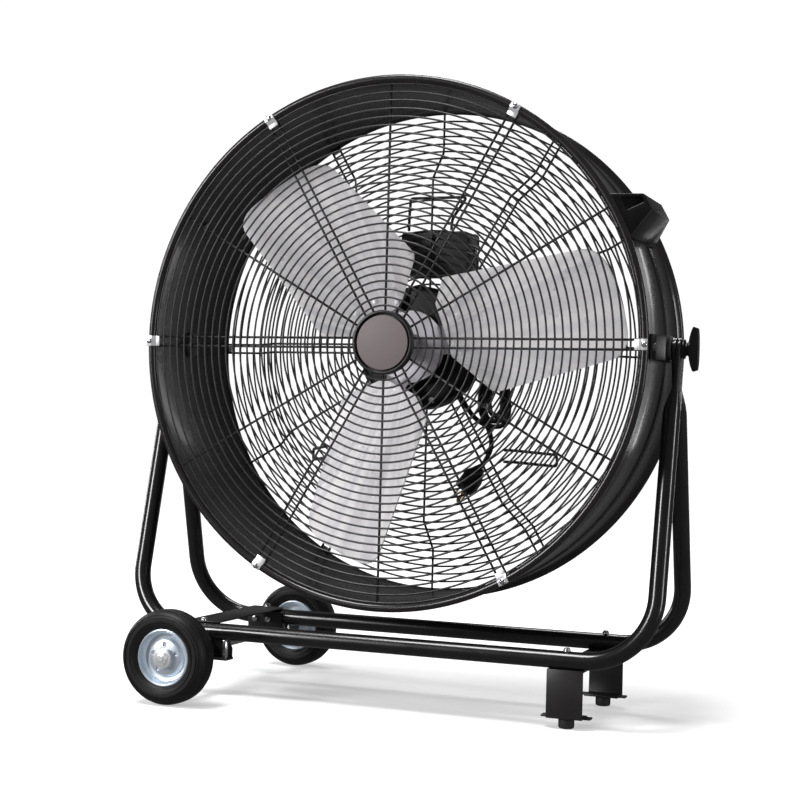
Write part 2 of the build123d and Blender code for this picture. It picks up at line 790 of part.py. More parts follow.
with BuildPart() as speed_knob:
    with BuildSketch(box_plane.offset(-box_wall - moving_gap)):
        Circle(knob_radius)
    extrude(amount=-knob_length * 0.4)
    with BuildSketch(box_plane.offset(-box_wall - moving_gap - knob_length * 0.4)):
        SlotOverall(2 * knob_radius - 2, 11, rotation=90)
    extrude(amount=-knob_length * 0.6)
    with BuildSketch(box_plane.offset(-box_wall - moving_gap)):
        Circle(knob_stem_radius)
    extrude(amount=box_wall + moving_gap + 4.0)
save(speed_knob, "speed_knob")

with BuildPart() as capacitor:
    seat = (box_middle_x - 27.5, box_front_y + 24.0, box_bottom_z + box_wall)
    with BuildSketch(Plane(origin=seat, z_dir=(0, 0, 1))):
        RegularPolygon(capacitor_radius, 16)
    extrude(amount=capacitor_height)
save(capacitor, "run_capacitor")

with BuildPart() as box_screws:
    for x in (-box_width / 2 + 7, box_width / 2 - 7):
        for z in (-box_height / 2 + 7, box_height / 2 - 7):
            with BuildSketch(box_plane.offset(-box_wall)):
                with Locations((x, z)):
                    RegularPolygon(3.5, 6)
            extrude(amount=-2.0)
    side_screw = Plane(
        origin=(box_middle_x + box_width / 2, box_rear_y - 14, box_middle_z + 2), z_dir=(1, 0, 0)
    )
    with BuildSketch(side_screw):
        Circle(box_screw_radius)
    extrude(amount=box_screw_height)
save(box_screws, "control_box_screws")


# ------------------------------------------------------------------ cord
def hank_points():
    """Corners of the tied hank: in on its front layer of runs and out on its rear one.

    Each run has one point at the waist, where the tie draws it in, and each half turn has
    two corners.  The middle run climbs from one layer to the other.
    """
    runs = 4 * hank_loops_per_layer - 1
    climbing_run = runs // 2
    spread = hank_draw_in / hank_half_height
    points = []
    for run in range(runs + 1):
        waist = hank_half_width - hank_draw_in - min(run, runs - run) * cord_step / 2
        side = 1 if run % 2 == 0 else -1
        layers = [cord_layer_y + cord_layer_step * (place > runs / 2) for place in (run, run + 1)]
        height_in = hank_half_height - min(run - 1, runs - run) * cord_step / 2
        height_out = hank_half_height - min(run, runs - run - 1) * cord_step / 2
        offset_in = waist + spread * height_in
        offset_out = waist + spread * height_out
        if run == climbing_run:
            waist -= 0.42 * cord_step
            offset_out -= 0.5 * cord_step
        middle = (layers[0] + layers[1]) / 2
        points += [
            (cord_hank_x + side * offset_in, layers[0], cord_waist_z - side * height_in),
            (cord_hank_x + side * waist, middle, cord_waist_z),
            (cord_hank_x + side * offset_out, layers[1], cord_waist_z + side * height_out),
        ]
    exit_corner = Vector(*points.pop())
    end = Vector(*points[-1])
    end += (exit_corner - end).normalized() * hank_end_run
    return points + [tuple(end)]


def corner_radii(points):
    """One radius for each inner point, as large as the shorter run beside it allows."""
    radii = []
    for before, here, after in zip(points, points[1:], points[2:]):
        run_in = Vector(*here) - Vector(*before)
        run_out = Vector(*after) - Vector(*here)
        turn = radians(run_in.get_angle(run_out))
        if abs(here[2] - cord_waist_z) < 1e-6:
            radii.append(hank_waist_radius)
        else:
            radii.append(0.45 * min(run_in.length, run_out.length) / tan(turn / 2))
    return radii


def report_cord(name, line, piece, radii, least_apart):
    """Print a cord piece's length, radii, least gap to itself and volume against its length."""
    count = int(line.length / 2)
    places = [line @ (i / count) for i in range(count + 1)]
    gaps = [
        (places[i] - places[j]).length - cord_diameter
        for i in range(len(places))
        for j in range(i + int(least_apart / 2), len(places))
    ]
    section = 1.5 * sqrt(3) * (cord_diameter / 2) ** 2
    share = piece.part.volume / (section * line.length)
    gap = f"{min(gaps):.2f}" if gaps else "-"
    print(f"{name}: {line.length:.0f} long, radii {[round(r) for r in radii]},", end=" ")
    print(f"least gap {gap}, volume {share:.4f} of section times length")


hank_route = hank_points()
hank_entry = Vector(70.0, cord_layer_y + 2.0, hank_route[0][2])
lead_turn = Vector(41.0, 80.5, tilt_height - 65.0)
hank_start = (hank_entry + lead_turn) / 2
hank_route = [tuple(hank_start), tuple(hank_entry)] + hank_route
with BuildPart() as cord_hank:
    with BuildLine() as hank_path:
        FilletPolyline(*hank_route, radius=corner_radii(hank_route))
    with BuildSketch(Plane(origin=hank_path.line @ 0, z_dir=hank_path.line % 0)):
        RegularPolygon(cord_diameter / 2, 6)
    sweep()
save(cord_hank, "cord_hank")
report_cord("hank", hank_path.wires()[0], cord_hank, corner_radii(hank_route), 30)

gland_y = cord_layer_y
lead_route = [
    (gland_x, gland_y, box_bottom_z - gland_length),
    (gland_x, gland_y, tilt_height + 51.0),
    (31.0, 78.0, tilt_height + 22.0),
    (27.0, 80.0, tilt_height - 7.0),
    (29.0, 81.5, tilt_height - 38.0),
    tuple(lead_turn),
    tuple(hank_start),
]
with BuildPart() as cord_lead:
    with BuildLine() as lead_path:
        FilletPolyline(*lead_route, radius=corner_radii(lead_route))
    with BuildSketch(Plane(origin=lead_path.line @ 0, z_dir=lead_path.line % 0)):
        RegularPolygon(cord_diameter / 2, 6)
    sweep()
save(cord_lead, "cord_lead")
report_cord("lead", lead_path.wires()[0], cord_lead, corner_radii(lead_route), 30)

hank_end = Vector(*hank_route[-1])
tail_start = hank_end + (hank_path.line % 1) * 19.0
tail_route = [
    tuple(hank_end),
    tuple(tail_start),
    (65.5, 87.5, tilt_height - 81.0),
    (74.5, 92.5, tilt_height - 99.5),
    (82.0, 92.0, tilt_height - 119.0),
    (78.0, 90.0, tilt_height - 139.0),
    (68.0, 88.0, tilt_height - 153.5),
]
with BuildPart() as cord_tail:
    with BuildLine() as tail_path:
        FilletPolyline(*tail_route, radius=corner_radii(tail_route))
    with BuildSketch(Plane(origin=tail_path.line @ 0, z_dir=tail_path.line % 0)):
        RegularPolygon(cord_diameter / 2, 6)
    sweep()
save(cord_tail, "cord_tail")
report_cord("tail", tail_path.wires()[0], cord_tail, corner_radii(tail_route), 30)

with BuildPart() as gland:
    with BuildSketch(Plane(origin=(gland_x, gland_y, box_bottom_z), z_dir=(0, 0, -1))):
        RegularPolygon(gland_base_radius, 16)
    extrude(amount=gland_length, taper=7)
save(gland, "cord_gland")

plug_axis = (tail_path.line % 1).normalized()
plug_plane = Plane(origin=tail_path.line @ 1, x_dir=(0, 1, 0), z_dir=plug_axis)
with BuildPart() as plug:
    with BuildSketch(plug_plane):
        RectangleRounded(11, 11, 3)
    with BuildSketch(plug_plane.offset(plug_length * 0.45)):
        RectangleRounded(plug_thickness, plug_width, 5)
    loft()
    with BuildSketch(plug_plane.offset(plug_length * 0.45)):
        RectangleRounded(plug_thickness, plug_width, 5)
    extrude(amount=plug_length * 0.55)
save(plug, "plug_body")

with BuildPart() as plug_pins:
    with BuildSketch(plug_plane.offset(plug_length)):
        with Locations((-2.0, -6.3), (-2.0, 6.3)):
            Rectangle(6.3, 1.5)
        with Locations((6.0, 0)):
            RegularPolygon(2.4, 8)
    extrude(amount=18.0)
save(plug_pins, "plug_pins")

# cable tie round the hank's waist and four rings of the rear grille
tie_z = cord_waist_z - tie_width / 2
tie_left = inner_ring_radius + 2.5 * ring_pitch - 4.0
tie_right = tie_left + 4 * ring_pitch
tie_front = rear_dish_y - 0.3
tie_rear = cord_layer_y + cord_layer_step + cord_diameter / 2 + 0.2
tie_size = (tie_right - tie_left - tie_band, tie_rear - tie_front)
tie_centre = ((tie_left + tie_right) / 2, (tie_front + tie_rear) / 2)
with BuildPart() as tie:
    with BuildSketch(Plane.XY.offset(tie_z)):
        with Locations(tie_centre):
            outer_size = (tie_size[0] + 2 * tie_band, tie_size[1] + 2 * tie_band)
            RectangleRounded(*outer_size, tie_corner + tie_band)
            RectangleRounded(*tie_size, tie_corner, mode=Mode.SUBTRACT)
    extrude(amount=tie_width)
    with BuildSketch(Plane.XY.offset(tie_z - 0.6)):
        with Locations((tie_centre[0] + 8, tie_rear + tie_band + 2.0)):
            Rectangle(8.0, 4.0)
    extrude(amount=tie_width + 1.2)
save(tie, "cord_tie")

# ------------------------------------------------------------------ tilt pivots
pivot_brackets = []
pivot_nuts = []
friction_washers = []
inner_plates = []
foot_inner_x = drum_wall_radius + seat_gap
foot_outer_x = foot_inner_x + bracket_sheet
step_y = bracket_length / 2 - bracket_foot
middle_y = step_y - (bracket_outer_x - foot_outer_x)
edge_sag = drum_inner_radius - sqrt(drum_inner_radius**2 - (inner_plate_height / 2) ** 2)
inner_plate_x = drum_inner_radius - edge_sag - 0.1
for side, name in ((1, "right"), (-1, "left")):
    with BuildPart() as pivot_bracket:
        with BuildSketch(Plane.XY.offset(tilt_height)):
            with BuildLine():
                outside = [
                    (side * foot_outer_x, -bracket_length / 2),
                    (side * foot_outer_x, -step_y),
                    (side * bracket_outer_x, -middle_y),
                    (side * bracket_outer_x, middle_y),
                    (side * foot_outer_x, step_y),
                    (side * foot_outer_x, bracket_length / 2),
                ]
                inside = [(x - side * bracket_sheet, y) for x, y in reversed(outside)]
                Polyline(*outside, *inside, close=True)
            make_face()
        extrude(amount=bracket_height / 2, both=True)
        with BuildSketch(side_plane(side * (bracket_outer_x - bracket_sheet - 1))):
            Circle(pivot_bolt_radius + moving_gap)
        extrude(amount=side * (bracket_sheet + 2), mode=Mode.SUBTRACT)
    pivot_brackets.append(pivot_bracket)

    with BuildPart() as pivot_nut:
        with BuildSketch(side_plane(side * (bracket_outer_x - bracket_sheet))):
            RegularPolygon(pivot_nut_flats / 2, 6, major_radius=False)
            Circle(pivot_bolt_radius + running_fit, mode=Mode.SUBTRACT)
        extrude(amount=-side * pivot_nut_height)
    pivot_nuts.append(pivot_nut)

    with BuildPart() as friction_washer:
        with BuildSketch(side_plane(side * bracket_outer_x)):
            Circle(friction_washer_radius)
            Circle(pivot_bolt_radius + moving_gap, mode=Mode.SUBTRACT)
        extrude(amount=side * washer_thickness)
    friction_washers.append(friction_washer)

    with BuildPart() as inner_plate:
        with BuildSketch(side_plane(side * inner_plate_x)):
            Ellipse(inner_plate_length / 2, inner_plate_height / 2)
        extrude(amount=-side * inner_plate_sheet)
    inner_plates.append(inner_plate)

    with BuildPart() as tilt_knob:
        face_x = strip_meet_x + flat_thickness + moving_gap
        with BuildSketch(side_plane(side * face_x)):
            Circle(knob_hub_radius)
        extrude(amount=side * knob_hub_length)
        bar_x = face_x + knob_hub_length
        with BuildSketch(side_plane(side * bar_x)):
            Rectangle(knob_bar_thickness, knob_bar_length)
        with BuildSketch(side_plane(side * (bar_x + knob_bar_depth))):
            Rectangle(knob_bar_tip, knob_bar_length - 8)
        loft()
        outer_edges = tilt_knob.edges().filter_by(Axis.Y).group_by(Axis.X)
        fillet(outer_edges[-1 if side > 0 else 0], 4.0)
        with BuildSketch(side_plane(side * face_x)):
            Circle(pivot_bolt_radius)
        extrude(amount=-side * (face_x - bracket_outer_x + bracket_sheet + pivot_nut_height + 1))
    save(tilt_knob, f"tilt_knob_{name}")
save_group(pivot_brackets, "pivot_brackets")
save_group(pivot_nuts, "pivot_nuts")
save_group(friction_washers, "friction_washers")
save_group(inner_plates, "inner_pivot_plates")


# ------------------------------------------------------------------ carry handles
def handle_plane(angle, radius):
    """Plane square to the drum wall: x along the drum, y around it, z outwards."""
    a = radians(angle)
    origin = (radius * cos(a), handle_centre_y, tilt_height + radius * sin(a))
    return Plane(origin=origin, x_dir=(0, 1, 0), z_dir=(cos(a), 0, sin(a)))


handle_base_radius = drum_wall_radius - 3.0
handle_top_radius = drum_wall_radius + handle_height
end_slope = atan2((handle_base_length - handle_top_length) / 2, handle_height + 3.0)
for angle, name in zip(handle_angles, ("right", "left")):
    # the finger recess opens upwards, which is the plane's +y side or its -y side
    base = handle_plane(angle, handle_base_radius)
    upward = 1 if base.y_dir.Z > 0 else -1
    with BuildPart() as handle:
        with BuildSketch(base):
            Rectangle(handle_base_length, handle_base_width)
        with BuildSketch(handle_plane(angle, handle_top_radius)):
            Rectangle(handle_top_length, handle_top_width)
        loft()
        recess_middle = grip_back + 20.0
        with BuildSketch(handle_plane(angle, drum_wall_radius + grip_base)):
            with Locations((0, upward * recess_middle)):
                Rectangle(grip_recess[0], 2 * (recess_middle - grip_back))
        extrude(amount=grip_recess[1], mode=Mode.SUBTRACT)
        for end in (-1, 1):
            mid_radius = (handle_base_radius + handle_top_radius) / 2 + 4.0
            level = handle_plane(angle, mid_radius)
            share = (mid_radius - handle_base_radius) / (handle_top_radius - handle_base_radius)
            half = (handle_base_length + share * (handle_top_length - handle_base_length)) / 2
            outward = level.x_dir * (end * cos(end_slope)) + level.z_dir * sin(end_slope)
            face = Plane(
                origin=level.origin + level.x_dir * (end * half),
                x_dir=level.y_dir * upward,
                z_dir=outward,
            )
            rise = 1 if face.y_dir.dot(level.z_dir) > 0 else -1
            with BuildSketch(face):
                with BuildLine():
                    Polyline(*[(x, rise * y) for x, y in end_pocket_outline], close=True)
                make_face()
            extrude(amount=-end_pocket_depth, mode=Mode.SUBTRACT)
        with BuildSketch(front_plane(drum_rear_y)):
            Circle(drum_wall_radius + seat_gap)
        extrude(amount=drum_rear_y - drum_front_y, mode=Mode.SUBTRACT)
        with BuildSketch(front_plane(crease_y + crease_width + 1.0)):
            Circle(drum_wall_radius + crease_height + seat_gap)
        extrude(amount=crease_width + 2.0, mode=Mode.SUBTRACT)
    save(handle, f"carry_handle_{name}")

# ------------------------------------------------------------------ screws in the drum wall
with BuildPart() as drum_screws:
    for angle in handle_angles:
        a = radians(angle)
        for y in (handle_centre_y - handle_screw_spread, handle_centre_y + handle_screw_spread):
            seat = drum_inner_radius - 0.1
            origin = (seat * cos(a), y, tilt_height + seat * sin(a))
            with BuildSketch(Plane(origin=origin, z_dir=(-cos(a), 0, -sin(a)))):
                RegularPolygon(5.5, 6)
            extrude(amount=4.0)
    for side in (-1, 1):
        for y in (-11.0, 11.0):
            with BuildSketch(side_plane(side * (inner_plate_x - inner_plate_sheet))):
                with Locations((y, 0)):
                    RegularPolygon(4.0, 6)
            extrude(amount=-side * 2.5)
        for y in ((bracket_foot - bracket_length) / 2, (bracket_length - bracket_foot) / 2):
            with BuildSketch(side_plane(side * foot_outer_x)):
                with Locations((y, 0)):
                    RegularPolygon(4.5, 8)
            extrude(amount=side * 2.5)
save(drum_screws, "drum_screws")


# ------------------------------------------------------------------ hoops of the stand
def hoop_plane(side):
    """Plane of a hoop: x right, y up along the leaning legs, origin on the tilt axis."""
    return Plane(
        origin=(0, 0, tilt_height),
        x_dir=(1, 0, 0),
        z_dir=(0, -cos(hoop_lean), -side * sin(hoop_lean)),
    )


neck = flat_length + flare_length
for side, name in ((-1, "front"), (1, "rear")):
    plane = hoop_plane(side)
    strip_x = strip_meet_x - side * flat_thickness / 2
    with BuildPart() as hoop:
        with BuildLine(plane) as hoop_path:
            FilletPolyline(
                (-leg_x, -neck),
                (-leg_x, -hoop_height),
                (leg_x, -hoop_height),
                (leg_x, -neck),
                radius=hoop_bend,
            )
        with BuildSketch(Plane(origin=hoop_path.line @ 0, z_dir=hoop_path.line % 0)):
            Circle(tube_radius)
        sweep()
        for end in (-1, 1):
            neck_plane = Plane(
                origin=plane.from_local_coords(Vector(end * leg_x, -neck, 0)),
                x_dir=(1, 0, 0),
                z_dir=plane.y_dir,
            )
            with BuildSketch(neck_plane):
                Circle(tube_radius)
            with BuildSketch(neck_plane.offset(flare_length)):
                with Locations((end * (strip_x - leg_x), 0)):
                    Ellipse(flat_thickness / 2, flat_width / 2)
            loft()
            strip_plane = Plane(
                origin=plane.from_local_coords(Vector(end * strip_x, 0, 0)),
                x_dir=plane.z_dir,
                z_dir=(1, 0, 0),
            )
            down = -1 if strip_plane.y_dir.Z > 0 else 1
            with BuildSketch(strip_plane):
                Circle(flat_width / 2)
                with Locations((0, down * flat_length / 2)):
                    Rectangle(flat_width, flat_length)
                Circle(pivot_bolt_radius + moving_gap, mode=Mode.SUBTRACT)
            extrude(amount=flat_thickness / 2, both=True)
    save(hoop, f"{name}_hoop")

# ------------------------------------------------------------------ cross plate, wheel end
with BuildPart() as cross_plate:
    with BuildSketch(Plane.XY.offset(rail_top_z + weld_touch)):
        with Locations((cross_plate_x, 0)):
            Rectangle(cross_plate_width, 2 * cross_plate_half_length)
    extrude(amount=cross_plate_sheet)
save(cross_plate, "wheel_end_plate")

# ------------------------------------------------------------------ foot channel and feet
channel_top_z = rail_bottom_z - weld_touch
with BuildPart() as foot_channel:
    with BuildSketch(Plane(origin=(foot_x, 0, 0), x_dir=(0, 1, 0), z_dir=(1, 0, 0))):
        with BuildLine():
            skin = [
                (foot_plate_y - foot_flange_depth, foot_flange_z),
                (foot_plate_y, foot_flange_z),
                (foot_plate_y, channel_top_z),
                (-foot_plate_y, channel_top_z),
                (-foot_plate_y, foot_flange_z),
                (foot_flange_depth - foot_plate_y, foot_flange_z),
                (foot_flange_depth - foot_plate_y, foot_flange_z + foot_sheet),
                (foot_sheet - foot_plate_y, foot_flange_z + foot_sheet),
                (foot_sheet - foot_plate_y, channel_top_z - foot_sheet),
                (foot_plate_y - foot_sheet, channel_top_z - foot_sheet),
                (foot_plate_y - foot_sheet, foot_flange_z + foot_sheet),
                (foot_plate_y - foot_flange_depth, foot_flange_z + foot_sheet),
            ]
            Polyline(*skin, close=True)
        make_face()
    extrude(amount=foot_plate_width / 2, both=True)
    for side in (-1, 1):
        with BuildSketch(Plane.XY.offset(foot_flange_z)):
            with Locations((foot_x, side * (foot_plate_y - foot_flange_depth / 2))):
                Rectangle(foot_plate_width + 2 * foot_tab, 12.0)
        extrude(amount=foot_sheet)
save(foot_channel, "foot_channel")

with BuildPart() as rubber_feet:
    with BuildSketch(Plane.XY):
        for side in (-1, 1):
            with Locations((foot_x, side * (foot_plate_y - foot_flange_depth / 2))):
                Circle(rubber_foot_radius)
    extrude(amount=foot_flange_z)
    chamfer(rubber_feet.edges().group_by(Axis.Z)[0], 1.5)
save(rubber_feet, "rubber_feet")

# ------------------------------------------------------------------ axle brackets
axle_brackets = []
bracket_face_y = rail_flank_y - weld_touch
for side in (-1, 1):
    face = Plane(origin=(axle_x, side * bracket_face_y, 0), x_dir=(1, 0, 0), z_dir=(0, -side, 0))
    mirror = 1 if face.y_dir.Z > 0 else -1
    with BuildPart() as axle_bracket:
        with BuildSketch(face):
            with BuildLine():
                half = axle_bracket_width / 2
                top = mirror * axle_bracket_top_z
                Polyline(
                    (-half, mirror * axle_bracket_bottom_z),
                    (half + 8.0, mirror * axle_bracket_bottom_z),
                    (half + 8.0, mirror * wheel_radius),
                    (half, mirror * (rail_bottom_z + 4.0)),
                    (half, top),
                    (-half, top),
                    close=True,
                )
            make_face()
            with Locations((0, mirror * wheel_radius)):
                Circle(axle_radius + seat_gap, mode=Mode.SUBTRACT)
        extrude(amount=foot_sheet)
        depth, length = axle_bracket_flange
        with BuildSketch(Plane.XY.offset(axle_bracket_bottom_z)):
            with Locations((axle_x + 5.0, side * (bracket_face_y + depth / 2 - 0.1))):
                Rectangle(length, depth + 0.2)
        extrude(amount=foot_sheet)
    axle_brackets.append(axle_bracket)
save_group(axle_brackets, "axle_brackets")

with BuildPart() as frame_bolts:
    plate_top_z = rail_top_z + weld_touch + cross_plate_sheet
    for x, z in ((foot_x, rail_top_z), (cross_plate_x, plate_top_z)):
        for side in (-1, 1):
            with BuildSketch(Plane.XY.offset(z)):
                with Locations((x, side * rail_y)):
                    RegularPolygon(stand_bolt_radius, 8)
            extrude(amount=stand_bolt_height, taper=20)
    for side in (-1, 1):
        with BuildSketch(Plane.XY.offset(axle_bracket_bottom_z + foot_sheet)):
            with Locations((rail_bolt_x, side * rail_y)):
                RegularPolygon(4.0, 6)
        extrude(amount=rail_bottom_z - weld_touch - axle_bracket_bottom_z - foot_sheet)
        screw_face = side * (bracket_face_y - foot_sheet)
        for x in (axle_x - 14.0, axle_x + 6.0):
            with BuildSketch(Plane(origin=(x, screw_face, rail_z - 3.0), z_dir=(0, -side, 0))):
                RegularPolygon(4.5, 6)
            extrude(amount=3.5)
save(frame_bolts, "frame_bolts")

# ------------------------------------------------------------------ axle
axle_plane = Plane(origin=(axle_x, 0, wheel_radius), x_dir=(1, 0, 0), z_dir=(0, -1, 0))
wheel_outer_y = wheel_y + tyre_width / 2
axle_half = wheel_outer_y - axle_recess
rim_half = rim_flange_width / 2
with BuildPart() as axle:
    with BuildSketch(axle_plane):
        Circle(axle_radius)
    extrude(amount=axle_half, both=True)
save(axle, "axle")

with BuildPart() as spacers:
    for side in (-1, 1):
        near = bracket_face_y
        far = wheel_y - rim_half - moving_gap
        with BuildSketch(axle_plane.offset(-side * near)):
            RegularPolygon(spacer_radius, 12)
            RegularPolygon(axle_radius + seat_gap, 12, major_radius=False, mode=Mode.SUBTRACT)
        extrude(amount=-side * (far - near))
save(spacers, "axle_spacers")

with BuildPart() as axle_caps:
    for side in (-1, 1):
        inner = wheel_y + rim_half + moving_gap
        shoulder = axle_half + 0.2
        with BuildSketch(axle_plane.offset(-side * inner)):
            RegularPolygon(axle_cap_radius, 16)
            Circle(axle_radius + running_fit, mode=Mode.SUBTRACT)
        extrude(amount=-side * (shoulder - inner))
        with BuildSketch(axle_plane.offset(-side * shoulder)):
            RegularPolygon(axle_cap_radius, 16)
        extrude(amount=-side * (wheel_outer_y - shoulder), taper=30)
save(axle_caps, "axle_caps")

# ------------------------------------------------------------------ wheels
wheel_axis = Axis((axle_x, 0, wheel_radius), (0, 1, 0))
for side, name in ((-1, "front"), (1, "rear")):
    section = Plane(
        origin=(axle_x, side * wheel_y, wheel_radius), x_dir=(1, 0, 0), z_dir=(0, 0, 1)
    )
    half = tyre_width / 2
    with BuildPart() as tyre:
        with BuildSketch(section):
            with BuildLine():
                Polyline(
                    (rim_radius + seat_gap, -rim_half),
                    (rim_radius + 4, -half),
                    (wheel_radius - tyre_shoulder, -half),
                    (wheel_radius, -half + tyre_shoulder),
                    (wheel_radius, half - tyre_shoulder),
                    (wheel_radius - tyre_shoulder, half),
                    (rim_radius + 4, half),
                    (rim_radius + seat_gap, rim_half),
                    close=True,
                )
            make_face()
        revolve(axis=wheel_axis)
    save(tyre, f"wheel_tyre_{name}")

    with BuildPart() as rim:
        with BuildSketch(section):
            with BuildLine():
                Polyline(
                    (axle_radius + running_fit, -rim_half),
                    (hub_tube_radius, -rim_half),
                    (hub_tube_radius, -rim_web / 2),
                    (rim_radius - 3, -rim_web / 2),
                    (rim_radius - 3, -rim_half),
                    (rim_radius, -rim_half),
                    (rim_radius, rim_half),
                    (rim_radius - 3, rim_half),
                    (rim_radius - 3, rim_web / 2),
                    (hub_tube_radius, rim_web / 2),
                    (hub_tube_radius, rim_half),
                    (axle_radius + running_fit, rim_half),
                    close=True,
                )
            make_face()
        revolve(axis=wheel_axis)
    save(rim, f"wheel_rim_{name}")
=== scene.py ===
"""Drum fan on a wheeled tube stand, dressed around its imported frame.

The frame gives the bodies, the joints and the plain solids.  This script models the parts that
show, dresses every surface, and sets the floor, the lights and the camera.  Sizes in the
classes are in millimetres, in the frame's axes: X right, Y back, Z up, with the floor at zero.
"""

import logging
from contextlib import contextmanager
from dataclasses import dataclass
from enum import Enum
from math import atan2, ceil, cos, hypot, pi, radians, sin, sqrt
from typing import Iterator, Sequence

import bpy
from mathutils import Matrix, Vector


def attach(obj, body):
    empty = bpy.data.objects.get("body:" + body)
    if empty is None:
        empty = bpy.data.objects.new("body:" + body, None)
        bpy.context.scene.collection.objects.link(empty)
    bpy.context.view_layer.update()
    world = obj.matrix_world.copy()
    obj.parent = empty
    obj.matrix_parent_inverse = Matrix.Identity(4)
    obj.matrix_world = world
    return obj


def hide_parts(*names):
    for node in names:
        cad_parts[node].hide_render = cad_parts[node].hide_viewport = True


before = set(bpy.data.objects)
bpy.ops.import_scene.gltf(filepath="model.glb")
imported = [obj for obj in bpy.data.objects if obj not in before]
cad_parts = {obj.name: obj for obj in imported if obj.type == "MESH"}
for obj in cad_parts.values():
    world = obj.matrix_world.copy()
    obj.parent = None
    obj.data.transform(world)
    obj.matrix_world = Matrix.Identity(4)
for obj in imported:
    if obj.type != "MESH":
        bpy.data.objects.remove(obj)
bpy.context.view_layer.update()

log = logging.getLogger("drum_fan")
Piece = bpy.types.Object
Pair = tuple[float, float]
Point = tuple[float, float, float]
Colour = tuple[float, float, float]
MM = 0.001
NEAR = 1e-6
TILT_HEIGHT = 450.0
FAN_CENTRE = Vector((0.0, 0.0, TILT_HEIGHT * MM))
BACK = Vector((0.0, 1.0, 0.0))


# ---------------------------------------------------------------------- workbench
def metres(place: Sequence[float]) -> Vector:
    """Turn a place in millimetres into metres."""
    return Vector(place) * MM


def clear_selection() -> None:
    """Leave edit mode and deselect every object."""
    active = bpy.context.view_layer.objects.active
    if active is not None and active.mode != "OBJECT":
        bpy.ops.object.mode_set(mode="OBJECT")
    bpy.ops.object.select_all(action="DESELECT")


def activate(*objects: Piece) -> None:
    """Select these objects alone, with the first one active.

    Args:
        objects: the objects to select.
    """
    clear_selection()
    for item in objects:
        item.select_set(True)
    bpy.context.view_layer.objects.active = objects[0]


@contextmanager
def editing(piece: Piece) -> Iterator[None]:
    """Edit one piece by its points, with nothing selected, then return to object mode.

    Args:
        piece: the piece to edit.
    """
    activate(piece)
    bpy.ops.object.mode_set(mode="EDIT")
    bpy.ops.mesh.select_mode(type="VERT")
    bpy.ops.mesh.select_all(action="DESELECT")
    yield
    bpy.ops.object.mode_set(mode="OBJECT")


def settle(piece: Piece) -> Piece:
    """Put a piece's place into its mesh, so that its object sits at the origin."""
    activate(piece)
    bpy.ops.object.transform_apply(location=True, rotation=True, scale=True)
    return piece


def mend(piece: Piece, outwards: bool = True) -> Piece:
    """Merge doubles and turn the faces of a closed piece outwards.

    Args:
        piece: the piece to mend.
        outwards: whether its faces are turned too.

    Returns:
        The same piece.
    """
    with editing(piece):
        bpy.ops.mesh.select_all(action="SELECT")
        bpy.ops.mesh.remove_doubles(threshold=NEAR)
        if outwards:
            bpy.ops.mesh.normals_make_consistent(inside=False)
    return piece


def smooth(piece: Piece, angle: float = 35.0) -> Piece:
    """Shade a piece smooth between its sharp edges.

    Args:
        piece: the piece to shade.
        angle: an edge that turns by more than this, in degrees, stays sharp.

    Returns:
        The same piece.
    """
    activate(piece)
    bpy.ops.object.shade_smooth_by_angle(angle=radians(angle))
    return piece


def modified(piece: Piece, kind: str, **settings: object) -> Piece:
    """Apply a modifier, and merge the doubles that it leaves where it had no room.

    Args:
        piece: the piece to change.
        kind: the modifier's kind.
        settings: the modifier's settings by name.

    Returns:
        The same piece.
    """
    change = piece.modifiers.new(kind.lower(), kind)
    for name, value in settings.items():
        setattr(change, name, value)
    activate(piece)
    bpy.ops.object.modifier_apply(modifier=change.name)
    return mend(piece, outwards=False)


def bevelled(
    piece: Piece, width: float, segments: int = 2, angle: float = 35.0
) -> Piece:
    """Round a piece's sharp edges.

    Args:
        piece: the piece to round.
        width: width of the rounding in millimetres.
        segments: faces across the rounding.
        angle: edges that turn by more than this are rounded.

    Returns:
        The same piece.
    """
    return modified(
        piece, "BEVEL", width=width * MM, segments=segments, limit_method="ANGLE",
        angle_limit=radians(angle), use_clamp_overlap=True, miter_outer="MITER_ARC",
    )


def cut_out(piece: Piece, tool: Piece) -> None:
    """Cut one piece out of another and put the tool away."""
    modified(piece, "BOOLEAN", operation="DIFFERENCE", object=tool, solver="EXACT")
    bpy.data.objects.remove(tool)


def joined(name: str, pieces: Sequence[Piece]) -> Piece:
    """Join pieces into one object.

    Args:
        name: the name of the joined piece.
        pieces: the pieces to join.

    Returns:
        The joined piece, settled at the origin.
    """
    activate(*pieces)
    if len(pieces) > 1:
        bpy.ops.object.join()
    whole = bpy.context.view_layer.objects.active
    whole.name = name
    return settle(whole)


def copied(piece: Piece, name: str, turn: Matrix) -> Piece:
    """Copy a piece with its own mesh and move the copy.

    Args:
        piece: the piece to copy.
        name: the copy's name.
        turn: where the copy goes, from the first piece's place.

    Returns:
        The copy, settled at the origin.
    """
    twin = piece.copy()
    twin.data = piece.data.copy()
    twin.name = name
    bpy.context.scene.collection.objects.link(twin)
    twin.matrix_world = turn @ piece.matrix_world
    return settle(twin)


def about(centre: Vector, angle: float, axis: Vector) -> Matrix:
    """A turn about an axis through a point, with the angle in degrees."""
    turn = Matrix.Rotation(radians(angle), 4, axis)
    return Matrix.Translation(centre) @ turn @ Matrix.Translation(-centre)


